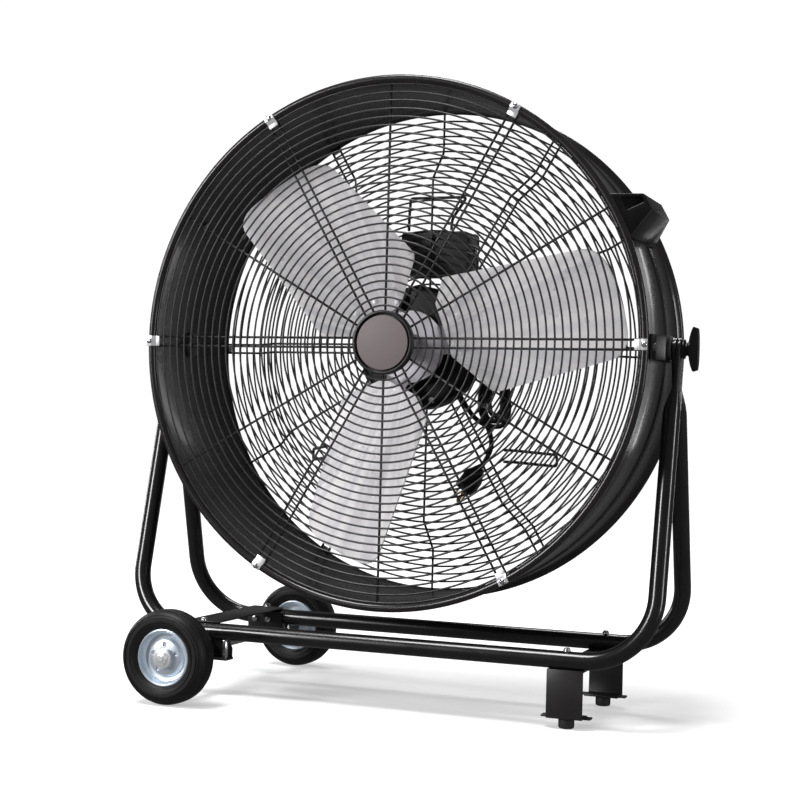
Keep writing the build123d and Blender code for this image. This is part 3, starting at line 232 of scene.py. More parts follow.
def outline(name: str, corners: Sequence[Vector], closed: bool) -> Piece:
    """Draw a line of edges by extruding one point from corner to corner.

    Args:
        name: the new piece's name.
        corners: the line's corners in metres.
        closed: whether the line comes back to its start.

    Returns:
        The new piece, in object mode.
    """
    clear_selection()
    bpy.ops.mesh.primitive_plane_add(size=0.002, location=corners[0])
    piece = bpy.context.object
    piece.name = name
    bpy.ops.object.transform_apply(location=True, rotation=True, scale=True)
    bpy.ops.object.mode_set(mode="EDIT")
    bpy.ops.mesh.select_mode(type="VERT")
    bpy.ops.mesh.select_all(action="SELECT")
    bpy.ops.mesh.merge(type="CENTER")
    route = list(corners) + ([corners[0]] if closed else [])
    for here, there in zip(route, route[1:]):
        bpy.ops.mesh.extrude_region_move(TRANSFORM_OT_translate={"value": there - here})
    if closed:
        bpy.ops.mesh.select_all(action="SELECT")
        bpy.ops.mesh.remove_doubles(threshold=NEAR)
    bpy.ops.object.mode_set(mode="OBJECT")
    return piece


def turned(
    name: str,
    profile: Sequence[tuple[float, float]],
    centre: Vector,
    axis: Vector,
    steps: int,
    closed: bool = True,
) -> Piece:
    """Turn a profile once round an axis, as on a lathe.

    Args:
        name: the new piece's name.
        profile: pairs of radius and distance along the axis, in millimetres.
        centre: the point on the axis where the distance is zero, in metres.
        axis: the axis.
        steps: faces round the axis.
        closed: whether the profile is a closed line, and not one that ends on the axis.

    Returns:
        The turned piece, with its faces outwards.
    """
    out = axis.orthogonal().normalized()
    corners = [centre + out * (r * MM) + axis * (along * MM) for r, along in profile]
    piece = outline(name, corners, closed)
    with editing(piece):
        bpy.ops.mesh.select_all(action="SELECT")
        bpy.ops.mesh.spin(steps=steps, angle=2 * pi, center=centre, axis=axis)
    return mend(piece)


def arc(centre: Pair, radius: float, start: float, stop: float, count: int) -> list[Pair]:
    """Points along an arc of a profile, with the angles in degrees."""
    step = (stop - start) / (count - 1)
    turns = [radians(start + step * i) for i in range(count)]
    return [(centre[0] + radius * cos(a), centre[1] + radius * sin(a)) for a in turns]


def eased(start: Vector, corner: Vector, end: Vector, shares: Sequence[float]) -> list[Pair]:
    """Points that round a corner off, at shares of the way from a start to an end."""
    points = [start * (1 - t) ** 2 + corner * (2 * t * (1 - t)) + end * t**2 for t in shares]
    return [tuple(point) for point in points]


def block(name: str, centre: Vector, size: Point) -> Piece:
    """Make a box to be cut with or shaped.

    Args:
        name: the new piece's name.
        centre: its middle in metres.
        size: its size in millimetres.

    Returns:
        The box.
    """
    clear_selection()
    bpy.ops.mesh.primitive_cube_add(size=1.0, location=centre, scale=metres(size))
    bpy.context.object.name = name
    return settle(bpy.context.object)


def rod(
    name: str, start: Vector, end: Vector, radius: float, sides: int = 12
) -> Piece:
    """Make a straight round rod with small rounded ends.

    Args:
        name: the new piece's name.
        start: one end in metres.
        end: the other end in metres.
        radius: the rod's radius in millimetres.
        sides: faces round the rod.

    Returns:
        The rod.
    """
    clear_selection()
    run = end - start
    turn = run.to_track_quat("Z", "Y").to_euler()
    bpy.ops.mesh.primitive_cylinder_add(
        vertices=sides, radius=radius * MM, depth=run.length, location=(start + end) / 2,
        rotation=turn,
    )
    piece = bpy.context.object
    piece.name = name
    return bevelled(settle(piece), radius * 0.25, 1, 60.0)


def laid(name: str, route: Sequence[Point], radius: float, along: int, around: int) -> Piece:
    """Lay a round curve with soft bends along a route.

    Args:
        name: the new piece's name.
        route: the route's points in millimetres.
        radius: the curve's radius in millimetres.
        along: steps between two points of the route.
        around: fineness of the curve round itself.

    Returns:
        The curve.
    """
    curve = bpy.data.curves.new(name, "CURVE")
    curve.dimensions = "3D"
    line = curve.splines.new("NURBS")
    line.points.add(len(route) - 1)
    for spot, place in zip(line.points, route):
        spot.co = (*metres(place), 1.0)
    line.order_u = 3
    line.use_endpoint_u = True
    line.resolution_u = along
    curve.bevel_depth = radius * MM
    curve.bevel_resolution = around
    curve.use_fill_caps = True
    piece = bpy.data.objects.new(name, curve)
    bpy.context.scene.collection.objects.link(piece)
    return piece


def bent_wire(name: str, route: Sequence[Point], radius: float) -> Piece:
    """Bend a round wire along a route.

    Args:
        name: the new piece's name.
        route: the route's points in millimetres.
        radius: the wire's radius in millimetres.

    Returns:
        The wire as a mesh.
    """
    activate(laid(name, route, radius, 8, 3))
    bpy.ops.object.convert(target="MESH")
    return mend(smooth(bpy.context.object, 50.0))


def softened(
    node: str, name: str, width: float, segments: int = 2, angle: float = 30.0
) -> Piece:
    """Copy a sheet or moulded part from the frame, merge its faces and round its edges.

    Args:
        node: the part in the frame.
        name: the new piece's name.
        width: width of the rounding in millimetres.
        segments: faces across the rounding.
        angle: edges that turn by more than this are rounded.

    Returns:
        The rounded copy.
    """
    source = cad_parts[node]
    piece = bpy.data.objects.new(name, source.data.copy())
    bpy.context.scene.collection.objects.link(piece)
    piece.data.materials.clear()
    with editing(piece):
        bpy.ops.mesh.select_all(action="SELECT")
        bpy.ops.mesh.customdata_custom_splitnormals_clear()
        bpy.ops.mesh.remove_doubles(threshold=2e-6)
        bpy.ops.mesh.dissolve_limited(angle_limit=radians(1.0))
    return smooth(bevelled(piece, width, segments, angle))


# ---------------------------------------------------------------------- finishes
class Texture(Enum):
    """The kinds of fine surface that the finishes use; the brushed one also paints sheen into the
    colour.
    """

    POWDER = "powder coat"
    MOULDED = "moulded grain"
    ROLLED = "rolled or plated metal"
    RUBBER = "rubber"
    # Fine brushed lines as bumps, plus broad streaks of painted sheen in the base colour, as
    # painted reflections.
    BRUSHED = "metal brushed outwards from the fan axis"


@dataclass(frozen=True)
class Finish:
    """One finish: its colours, gloss and fine surface."""

    name: str
    slot: str
    texture: Texture
    colour: Colour
    shade: Colour
    roughness: tuple[float, float]
    metallic: float = 0.0
    grain: float = 900.0
    depth: float = 0.00006
    mottle: float = 18.0
    coat: float = 0.0
    specular: float = 0.4
    dust: float = 0.04


class Finishes(Enum):
    """Every finish on the fan."""

    DRUM_PAINT = Finish(
        "drum_paint", "black_steel", Texture.POWDER, (0.0062, 0.0053, 0.0057),
        (0.0105, 0.0090, 0.0097), (0.25, 0.30), grain=1500.0, depth=0.00001, coat=0.27,
        specular=0.22, dust=0.01,
    )
    TUBE_PAINT = Finish(
        "tube_paint", "black_steel", Texture.POWDER, (0.0040, 0.0037, 0.0040),
        (0.0078, 0.0070, 0.0074), (0.20, 0.28), grain=1300.0, depth=0.00001, coat=0.35,
        specular=0.28,
    )
    PLATE_PAINT = Finish(
        "plate_paint", "black_steel", Texture.POWDER, (0.0095, 0.0084, 0.0090),
        (0.0150, 0.0132, 0.0140), (0.32, 0.44), grain=1200.0, depth=0.00005, specular=0.28,
    )
    WIRE_COAT = Finish(
        "wire_coat", "black_wire", Texture.POWDER, (0.0075, 0.0068, 0.0073),
        (0.0130, 0.0117, 0.0124), (0.28, 0.38), grain=2400.0, depth=0.00001, specular=0.42,
    )
    # The pale shade colour here is also the painted sheen that the broad streaks mix into the
    # blades' colour, as painted reflections.
    BLADE_PAINT = Finish(
        "blade_paint", "blade_metal", Texture.BRUSHED, (0.60, 0.59, 0.66),
        (1.0, 0.97, 0.98), (0.24, 0.36), metallic=0.28, grain=120.0, depth=0.00004,
        mottle=9.0, dust=0.0,
    )
    HUB_METAL = Finish(
        "hub_metal", "blade_metal", Texture.ROLLED, (0.30, 0.29, 0.32),
        (0.42, 0.40, 0.44), (0.34, 0.46), metallic=0.45, grain=420.0, depth=0.00002,
    )
    ZINC = Finish(
        "zinc_plate", "zinc", Texture.ROLLED, (0.44, 0.44, 0.45),
        (0.60, 0.605, 0.62), (0.18, 0.30), metallic=0.95, grain=700.0, depth=0.00002,
    )
    PLATE_ZINC = Finish(
        "pressed_zinc", "zinc", Texture.ROLLED, (0.60, 0.60, 0.61),
        (0.72, 0.725, 0.74), (0.28, 0.40), metallic=0.70, grain=700.0, depth=0.00002,
    )
    RIM_ZINC = Finish(
        "rim_zinc", "zinc", Texture.ROLLED, (0.50, 0.59, 0.67),
        (0.70, 0.73, 0.79), (0.28, 0.42), metallic=0.78, grain=420.0, depth=0.00002,
        mottle=60.0,
    )
    BARE_STEEL = Finish(
        "ground_steel", "bare_steel", Texture.ROLLED, (0.46, 0.45, 0.44),
        (0.56, 0.55, 0.54), (0.24, 0.36), metallic=1.0, grain=900.0, depth=0.00001,
    )
    MOTOR_PAINT = Finish(
        "motor_paint", "motor_black", Texture.POWDER, (0.0030, 0.0028, 0.0030),
        (0.0055, 0.0050, 0.0054), (0.30, 0.44), grain=700.0, depth=0.00012, specular=0.2,
    )
    CORE_STEEL = Finish(
        "core_steel", "core_steel", Texture.ROLLED, (0.28, 0.25, 0.23),
        (0.36, 0.33, 0.30), (0.40, 0.55), metallic=0.9, grain=500.0, depth=0.00003,
    )
    HANDLE_PLASTIC = Finish(
        "handle_plastic", "black_plastic", Texture.MOULDED, (0.0035, 0.0033, 0.0036),
        (0.0065, 0.0060, 0.0064), (0.30, 0.42), grain=1600.0, depth=0.00004, specular=0.2,
    )
    BOX_PLASTIC = Finish(
        "box_plastic", "black_plastic", Texture.MOULDED, (0.016, 0.0152, 0.016),
        (0.025, 0.0238, 0.025), (0.38, 0.50), grain=1500.0, depth=0.00005, specular=0.3,
    )
    KNOB_PLASTIC = Finish(
        "knob_plastic", "black_plastic", Texture.MOULDED, (0.0035, 0.0033, 0.0036),
        (0.0065, 0.0060, 0.0064), (0.28, 0.40), grain=1800.0, depth=0.00004, specular=0.22,
    )
    CAP_PLASTIC = Finish(
        "cap_plastic", "black_plastic", Texture.MOULDED, (0.0040, 0.0036, 0.0039),
        (0.0070, 0.0063, 0.0068), (0.22, 0.32), grain=1800.0, depth=0.00002, specular=0.26,
    )
    CAP_FACE = Finish(
        "cap_face", "grey_plastic", Texture.MOULDED, (0.084, 0.066, 0.068),
        (0.112, 0.088, 0.091), (0.50, 0.62), grain=1100.0, depth=0.00018, mottle=22.0,
    )
    TIE_PLASTIC = Finish(
        "tie_plastic", "black_plastic", Texture.MOULDED, (0.016, 0.016, 0.016),
        (0.024, 0.024, 0.024), (0.30, 0.42), grain=2000.0, depth=0.00003,
    )
    FIBRE = Finish(
        "fibre", "fibre", Texture.MOULDED, (0.022, 0.020, 0.019),
        (0.034, 0.030, 0.029), (0.60, 0.75), grain=1400.0, depth=0.00012,
    )
    CAPACITOR = Finish(
        "capacitor_case", "grey_plastic", Texture.MOULDED, (0.20, 0.20, 0.20),
        (0.25, 0.25, 0.25), (0.35, 0.50), grain=900.0, depth=0.00003,
    )
    FOOT_RUBBER = Finish(
        "foot_rubber", "black_rubber", Texture.RUBBER, (0.008, 0.008, 0.008),
        (0.016, 0.0155, 0.0155), (0.55, 0.70), grain=1100.0, depth=0.00010, specular=0.3,
    )
    TYRE = Finish(
        "tyre_rubber", "tyre_rubber", Texture.RUBBER, (0.0042, 0.0038, 0.0040),
        (0.0085, 0.0076, 0.0080), (0.40, 0.54), grain=800.0, depth=0.00006, specular=0.2,
        mottle=30.0,
    )
    CORD = Finish(
        "cord_jacket", "cord_jacket", Texture.RUBBER, (0.0060, 0.0057, 0.0060),
        (0.0105, 0.0100, 0.0104), (0.34, 0.46), grain=1500.0, depth=0.00003, specular=0.25,
    )
    BRASS = Finish(
        "brass_pin", "brass_pins", Texture.ROLLED, (0.72, 0.55, 0.26),
        (0.80, 0.64, 0.34), (0.16, 0.26), metallic=1.0, grain=900.0, depth=0.00001,
    )


class NodeGroups:
    """The shader groups that several finishes share."""

    def __init__(self) -> None:
        """Build each group once."""
        self.mottle = self._mottle()
        self.grain = self._grain()
        self.lines = self._lines()
        self.specks = self._specks()
        self.rays_and_painted_sheen = self._rays_and_painted_sheen()

    @staticmethod
    def _start(
        name: str, inputs: dict[str, str], outputs: dict[str, str]
    ) -> tuple[bpy.types.NodeTree, bpy.types.Node, bpy.types.Node, bpy.types.NodeSocket]:
        """Start a group with its sockets.

        Args:
            name: the group's name.
            inputs: each input's name and socket type.
            outputs: each output's name and socket type.

        Returns:
            The group, its input node, its output node and an Object coordinates socket.
        """
        group = bpy.data.node_groups.new(name, "ShaderNodeTree")
        for direction, sockets in (("INPUT", inputs), ("OUTPUT", outputs)):
            for label, kind in sockets.items():
                group.interface.new_socket(name=label, in_out=direction, socket_type=kind)
        entry = group.nodes.new("NodeGroupInput")
        leave = group.nodes.new("NodeGroupOutput")
        place = group.nodes.new("ShaderNodeTexCoord")
        return group, entry, leave, place.outputs["Object"]

    @classmethod
    def _mottle(cls) -> bpy.types.NodeTree:
        """Slow change of colour and gloss over a surface."""
        group, entry, leave, place = cls._start(
            "slow_mottle",
            {
                "Colour": "NodeSocketColor", "Shade": "NodeSocketColor",
                "Scale": "NodeSocketFloat", "Low": "NodeSocketFloat", "High": "NodeSocketFloat",
            },
            {"Colour": "NodeSocketColor", "Roughness": "NodeSocketFloat"},
        )
        noise = group.nodes.new("ShaderNodeTexNoise")
        noise.inputs["Detail"].default_value = 4.0
        noise.inputs["Roughness"].default_value = 0.6
        mix = group.nodes.new("ShaderNodeMix")
        mix.data_type = "RGBA"
        spread = group.nodes.new("ShaderNodeMapRange")
        spread.inputs["From Min"].default_value = 0.3
        spread.inputs["From Max"].default_value = 0.7
        link = group.links.new
        link(place, noise.inputs["Vector"])
        link(entry.outputs["Scale"], noise.inputs["Scale"])
        link(noise.outputs["Fac"], mix.inputs["Factor"])
        link(entry.outputs["Colour"], mix.inputs["A"])
        link(entry.outputs["Shade"], mix.inputs["B"])
        link(noise.outputs["Fac"], spread.inputs["Value"])
        link(entry.outputs["Low"], spread.inputs["To Min"])
        link(entry.outputs["High"], spread.inputs["To Max"])
        link(mix.outputs["Result"], leave.inputs["Colour"])
        link(spread.outputs["Result"], leave.inputs["Roughness"])
        return group

    @classmethod
    def _grain(cls) -> bpy.types.NodeTree:
        """Fine bumps of a powder coat, a moulded skin or rubber."""
        group, entry, leave, place = cls._start(
            "fine_grain",
            {
                "Scale": "NodeSocketFloat", "Pebble": "NodeSocketFloat",
            },
            {"Height": "NodeSocketFloat"},
        )
        noise = group.nodes.new("ShaderNodeTexNoise")
        noise.inputs["Detail"].default_value = 2.0
        cells = group.nodes.new("ShaderNodeTexVoronoi")
        cells.feature = "SMOOTH_F1"
        cells.inputs["Smoothness"].default_value = 0.6
        mix = group.nodes.new("ShaderNodeMix")
        mix.data_type = "FLOAT"
        link = group.links.new
        for texture in (noise, cells):
            link(place, texture.inputs["Vector"])
            link(entry.outputs["Scale"], texture.inputs["Scale"])
        link(entry.outputs["Pebble"], mix.inputs["Factor"])
        link(noise.outputs["Fac"], mix.inputs["A"])
        link(cells.outputs["Distance"], mix.inputs["B"])
        link(mix.outputs["Result"], leave.inputs["Height"])
        return group

    @classmethod
    def _lines(cls) -> bpy.types.NodeTree:
        """Fine lines that rolling or wiping leaves on metal."""
        group, entry, leave, place = cls._start(
            "rolled_lines", {"Scale": "NodeSocketFloat"}, {"Height": "NodeSocketFloat"}
        )
        stretch = group.nodes.new("ShaderNodeMapping")
        stretch.inputs["Scale"].default_value = (1.0, 0.12, 0.12)
        stretch.inputs["Rotation"].default_value = (0.3, 0.2, 0.9)
        noise = group.nodes.new("ShaderNodeTexNoise")
        noise.inputs["Detail"].default_value = 3.0
        link = group.links.new
        link(place, stretch.inputs["Vector"])
        link(stretch.outputs["Vector"], noise.inputs["Vector"])
        link(entry.outputs["Scale"], noise.inputs["Scale"])
        link(noise.outputs["Fac"], leave.inputs["Height"])
        return group

    @classmethod
    def _rays_and_painted_sheen(cls) -> bpy.types.NodeTree:
        """Streaks that run outwards from the fan axis: fine lines as a height for bumps, and a
        broad mask of painted sheen, painted reflections that the blades' colour takes up.
        """
        group, entry, leave, place = cls._start(
            "axis_rays_and_painted_sheen", {"Scale": "NodeSocketFloat"},
            {"Height": "NodeSocketFloat", "Mask": "NodeSocketFloat"},
        )
        parts = group.nodes.new("ShaderNodeSeparateXYZ")
        level = group.nodes.new("ShaderNodeMath")
        level.operation = "SUBTRACT"
        level.inputs[1].default_value = TILT_HEIGHT * MM
        angle = group.nodes.new("ShaderNodeMath")
        angle.operation = "ARCTAN2"
        fine, broad = (group.nodes.new("ShaderNodeTexNoise") for _ in range(2))
        spread = group.nodes.new("ShaderNodeMapRange")
        spread.inputs["From Min"].default_value = 0.38
        spread.inputs["From Max"].default_value = 0.62
        link = group.links.new
        link(place, parts.inputs["Vector"])
        link(parts.outputs["Z"], level.inputs[0])
        link(level.outputs["Value"], angle.inputs[0])
        link(parts.outputs["X"], angle.inputs[1])
        for noise, detail in ((fine, 3.0), (broad, 2.0)):
            noise.noise_dimensions = "1D"
            noise.inputs["Detail"].default_value = detail
            link(angle.outputs["Value"], noise.inputs["W"])
        link(entry.outputs["Scale"], fine.inputs["Scale"])
        # The broad noise is the painted sheen: it places pale painted reflections along rays from
        # the fan axis.
        broad.inputs["Scale"].default_value = 9.0
        link(broad.outputs["Fac"], spread.inputs["Value"])
        link(fine.outputs["Fac"], leave.inputs["Height"])
        link(spread.outputs["Result"], leave.inputs["Mask"])
        return group

    @classmethod
    def _specks(cls) -> bpy.types.NodeTree:
        """Sparse dull specks of dust and small marks, as a mask."""
        group, entry, leave, place = cls._start(
            "dust_specks",
            {"Scale": "NodeSocketFloat", "Amount": "NodeSocketFloat"},
            {"Mask": "NodeSocketFloat"},
        )
        noise = group.nodes.new("ShaderNodeTexNoise")
        noise.inputs["Detail"].default_value = 5.0
        noise.inputs["Roughness"].default_value = 0.72
        ramp = group.nodes.new("ShaderNodeMapRange")
        ramp.inputs["From Min"].default_value = 0.56
        ramp.inputs["From Max"].default_value = 0.72
        link = group.links.new
        link(place, noise.inputs["Vector"])
        link(entry.outputs["Scale"], noise.inputs["Scale"])
        link(noise.outputs["Fac"], ramp.inputs["Value"])
        link(entry.outputs["Amount"], ramp.inputs["To Max"])
        link(ramp.outputs["Result"], leave.inputs["Mask"])
        return group


class Paintshop:
    """Makes each finish's material once and hands it out."""

    pebbles = {Texture.POWDER: 0.35, Texture.MOULDED: 0.8, Texture.RUBBER: 0.15}
    speck_scale = 55.0
    coat_roughness = 0.12

    def __init__(self) -> None:
        """Build the shared groups."""
        self.groups = NodeGroups()
        self.made: dict[Finishes, bpy.types.Material] = {}

    def material(self, choice: Finishes) -> bpy.types.Material:
        """Give the material of a finish, made on its first use.

        Args:
            choice: the finish.

        Returns:
            Its material.
        """
        if choice not in self.made:
            self.made[choice] = self._mix(choice.value)
        return self.made[choice]

    def _mix(self, finish: Finish) -> bpy.types.Material:
        """Build one finish's material from the shared groups."""
        material = bpy.data.materials.new(finish.name)
        material.use_nodes = True
        nodes, link = material.node_tree.nodes, material.node_tree.links.new
        shader = nodes["Principled BSDF"]
        shader.inputs["Metallic"].default_value = finish.metallic
        shader.inputs["Coat Weight"].default_value = finish.coat
        shader.inputs["Coat Roughness"].default_value = self.coat_roughness
        shader.inputs["Specular IOR Level"].default_value = finish.specular
        mottle = self._place(nodes, self.groups.mottle)
        mottle.inputs["Colour"].default_value = (*finish.colour, 1.0)
        mottle.inputs["Shade"].default_value = (*finish.shade, 1.0)
        mottle.inputs["Scale"].default_value = finish.mottle
        mottle.inputs["Low"].default_value = finish.roughness[0]
        mottle.inputs["High"].default_value = finish.roughness[1]
        bump = nodes.new("ShaderNodeBump")
        bump.inputs["Distance"].default_value = finish.depth
        bump.inputs["Strength"].default_value = 1.0
        if finish.texture is Texture.BRUSHED:
            fine = self._place(nodes, self.groups.rays_and_painted_sheen)
        elif finish.texture is Texture.ROLLED:
            fine = self._place(nodes, self.groups.lines)
        else:
            fine = self._place(nodes, self.groups.grain)
            fine.inputs["Pebble"].default_value = self.pebbles[finish.texture]
        fine.inputs["Scale"].default_value = finish.grain
        link(fine.outputs["Height"], bump.inputs["Height"])
        link(bump.outputs["Normal"], shader.inputs["Normal"])
        specks = self._place(nodes, self.groups.specks)
        specks.inputs["Scale"].default_value = self.speck_scale
        specks.inputs["Amount"].default_value = finish.dust
        dull = nodes.new("ShaderNodeMath")
        dull.operation = "ADD"
        dull.use_clamp = True
        link(mottle.outputs["Roughness"], dull.inputs[0])
        link(specks.outputs["Mask"], dull.inputs[1])
        link(dull.outputs["Value"], shader.inputs["Roughness"])
        colour = mottle.outputs["Colour"]
        # Painted sheen: on the blades the base colour is pulled towards the pale shade colour in
        # broad streaks along rays from the fan axis, as painted reflections.
        if finish.texture is Texture.BRUSHED:
            painted_streaks = nodes.new("ShaderNodeMix")
            painted_streaks.data_type = "RGBA"
            link(fine.outputs["Mask"], painted_streaks.inputs["Factor"])
            link(colour, painted_streaks.inputs["A"])
            painted_streaks.inputs["B"].default_value = (*finish.shade, 1.0)
            colour = painted_streaks.outputs["Result"]
        link(colour, shader.inputs["Base Color"])
        return material

    @staticmethod
    def _place(nodes: bpy.types.Nodes, group: bpy.types.NodeTree) -> bpy.types.Node:
        """Place a shared group in a material."""
        node = nodes.new("ShaderNodeGroup")
        node.node_tree = group
        return node


@dataclass
class Assembly:
    """What every sub-assembly shares: the paintshop and the way a piece is handed over."""

    paint: Paintshop
    body: str = "stand"

    def fit(
        self,
        piece: Piece,
        choice: Finishes,
        nodes: Sequence[str] = (),
        body: str = "",
    ) -> Piece:
        """Dress a finished piece and hand it to its body.

        Args:
            piece: the finished piece.
            choice: its finish.
            nodes: the frame's nodes that it stands for.
            body: the body that it rides on, when it isn't the assembly's own.

        Returns:
            The same piece.
        """
        piece.data.materials.clear()
        piece.data.materials.append(self.paint.material(choice))
        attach(piece, body or self.body)
        if nodes:
            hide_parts(*nodes)
        faces = len(piece.data.polygons) if piece.type == "MESH" else 0
        log.info("%s on %s, %s, %d faces", piece.name, body or self.body, choice.value.name, faces)
        return piece

    def keep(self, choice: Finishes, *nodes: str) -> None:
        """Dress frame parts whose own shape is right."""
        for node in nodes:
            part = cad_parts[node]
            part.data.materials.clear()
            part.data.materials.append(self.paint.material(choice))
            log.info("%s kept, %s", node, choice.value.name)

    def soften(
        self, node: str, choice: Finishes, width: float, segments: int = 2, body: str = ""
    ) -> Piece:
        """Replace a frame part by its copy with rounded edges.

        Args:
            node: the frame part.
            choice: its finish.
            width: width of the rounding in millimetres.
            segments: faces across the rounding.
            body: its body, when it isn't the assembly's own.

        Returns:
            The rounded piece.
        """
        piece = softened(node, f"{node}_rounded", width, segments)
        return self.fit(piece, choice, (node,), body)


# ---------------------------------------------------------------------- drum and grilles
@dataclass
class Drum(Assembly):
    """The rolled drum with its two grilles, clips, handles and pivots."""

    wall_radius: float = 322.0
    front_y: float = -100.0
    rear_y: float = 110.0
    bead_centre: float = 325.0
    bead_radius: float = 4.9
    crease_y: tuple[float, float] = (22.0, 32.0)
    crease_height: float = 2.5
    ring_wire: float = 2.5
    spoke_wire: float = 3.0
    ring_count: int = 28
    inner_ring: float = 46.0
    outer_ring: float = 318.65
    spoke_start: float = 31.0
    spoke_end: float = 319.6
    pair_offset: float = 5.8
    front_ring_y: float = -95.0
    front_spoke_y: float = -92.25
    rim_y: float = 101.0
    dish_y: float = 63.0
    dish_radii: tuple[float, float] = (226.0, 266.0)
    dish_bend: float = 4.0
    screw_circle: float = 326.0
    screw_seat: float = 1.5
    screw: tuple[Pair, ...] = (
        (0.0, 0.0), (3.6, 0.0), (3.6, -0.9), (3.096, -1.9), (1.8, -2.6), (0.0, -2.6),
    )
    recess: Point = (1.0, 2.0, 3.9)
    steps: int = 192
    body: str = "drum_head"

    def build(self) -> None:
        """Make and dress the drum's pieces."""
        self.shell()
        self.front_grille()
        self.rear_grille()
        self.clips()
        for side in ("left", "right"):
            self.soften(f"carry_handle_{side}", Finishes.HANDLE_PLASTIC, 1.4, 3)
        self.soften("pivot_brackets", Finishes.TUBE_PAINT, 0.8)
        self.soften("inner_pivot_plates", Finishes.PLATE_PAINT, 0.5)
        self.keep(Finishes.ZINC, "pivot_nuts", "drum_screws")
        self.keep(Finishes.FIBRE, "friction_washers")

    def shell(self) -> Piece:
        """Turn the drum wall with its rolled beads and its crease."""
        low, high = self.crease_y
        front = self.front_y + self.bead_radius
        bead = arc((self.bead_centre, front), self.bead_radius, 156.7, 424.0, 20)
        bead += [(self.wall_radius + 1.0, front + 7.4), (self.wall_radius, front + 9.0)]
        both = self.front_y + self.rear_y
        rear = [(r, both - y) for r, y in reversed(bead)]
        crease = []
        for share in (i / 8 for i in range(9)):
            lift = self.crease_height * (0.5 - 0.5 * cos(2 * pi * share))
            crease.append((self.wall_radius + lift, low + (high - low) * share))
        profile = bead + crease + rear
        piece = turned("drum_shell_rolled", profile, FAN_CENTRE, BACK, self.steps)
        return self.fit(smooth(piece, 40.0), Finishes.DRUM_PAINT, ("drum_shell",))

    def spoke_places(self) -> list[tuple[float, float]]:
        """Angle in degrees and sideways offset of each spoke."""
        pairs = [(a, s * self.pair_offset) for a in range(0, 360, 60) for s in (-1, 1)]
        return pairs + [(a + 30, 0.0) for a in range(0, 360, 60)]

    def ring_radii(self) -> list[float]:
        """Radius of each ring, from the outermost inwards."""
        pitch = (self.outer_ring - self.inner_ring) / (self.ring_count - 1)
        return [self.outer_ring - pitch * i for i in range(self.ring_count)]

    def ring(self, radius: float, y: float) -> Piece:
        """Bend one ring of wire at a place along the fan axis."""
        clear_selection()
        bpy.ops.mesh.primitive_torus_add(
            location=metres((0, y, TILT_HEIGHT)),
            rotation=(pi / 2, 0, 0),
            major_radius=radius * MM,
            minor_radius=self.ring_wire / 2 * MM,
            major_segments=max(48, 8 * round(radius / 16)),
            minor_segments=8,
        )
        return bpy.context.object

    @staticmethod
    def along(angle: float, offset: float, radius: float, y: float) -> Point:
        """A place on a spoke's line, in millimetres."""
        a = radians(angle)
        x = radius * cos(a) - offset * sin(a)
        return (x, y, TILT_HEIGHT + radius * sin(a) + offset * cos(a))

    def front_grille(self) -> Piece:
        """Weld the flat front grille."""
        wires = [self.ring(radius, self.front_ring_y) for radius in self.ring_radii()]
        for angle, offset in self.spoke_places():
            ends = [
                metres(self.along(angle, offset, r, self.front_spoke_y))
                for r in (self.spoke_start, self.spoke_end)
            ]
            wires.append(rod("spoke", ends[0], ends[1], self.spoke_wire / 2, 10))
        piece = smooth(joined("front_grille_wires", wires), 50.0)
        return self.fit(piece, Finishes.WIRE_COAT, ("front_grille",))

    def dish(self, radius: float) -> float:
        """Front face of the rear grille's rings at a radius."""
        floor, rim = self.dish_radii
        share = min(1.0, max(0.0, (radius - floor) / (rim - floor)))
        return self.dish_y + share * (self.rim_y - self.dish_y)

    def rear_grille(self) -> Piece:
        """Weld the rear grille with its sunken centre."""
        floor, rim = self.dish_radii
        half_ring, half_spoke = self.ring_wire / 2, self.spoke_wire / 2
        bends = [place + side * self.dish_bend for place in (floor, rim) for side in (-1, 0, 1)]
        wires = []
        for radius in self.ring_radii():
            lift = half_ring if floor < radius < rim else 0.0
            wires.append(self.ring(radius, self.dish(radius) + lift + half_ring))
        for angle, offset in self.spoke_places():
            route = [
                self.along(angle, offset, r, self.dish(r) - half_spoke)
                for r in (self.spoke_start, *bends, self.spoke_end)
            ]
            wires.append(bent_wire("spoke", route, half_spoke))
        piece = smooth(joined("rear_grille_wires", wires), 50.0)
        nodes = ("rear_rim_rings", "rear_centre_rings", "rear_spokes")
        return self.fit(piece, Finishes.WIRE_COAT, nodes)

    def clips(self) -> None:
        """Round the clips and model their cross-recessed screws."""
        self.soften("grille_clips", Finishes.PLATE_ZINC, 0.45)
        start = metres((self.screw_circle, self.front_y - self.screw_seat, TILT_HEIGHT))
        screw = turned("clip_screw", self.screw, start, BACK, 20, False)
        crown = start + metres((0, self.screw[-1][1], 0))
        for size in (self.recess, self.recess[::-1]):
            cut_out(screw, block("recess", crown, size))
        screws = [screw]
        for angle in range(60, 360, 60):
            turn = about(FAN_CENTRE, -angle, BACK)
            screws.append(copied(screw, "clip_screw", turn))
        middle = Vector((0, (self.front_y + self.rear_y) / 2 * MM, TILT_HEIGHT * MM))
        flip = about(middle, 180.0, Vector((0, 0, 1)))
        screws += [copied(item, "clip_screw", flip) for item in list(screws)]
        piece = smooth(joined("clip_screws_domed", screws), 40.0)
        self.fit(piece, Finishes.ZINC, ("clip_screws",))


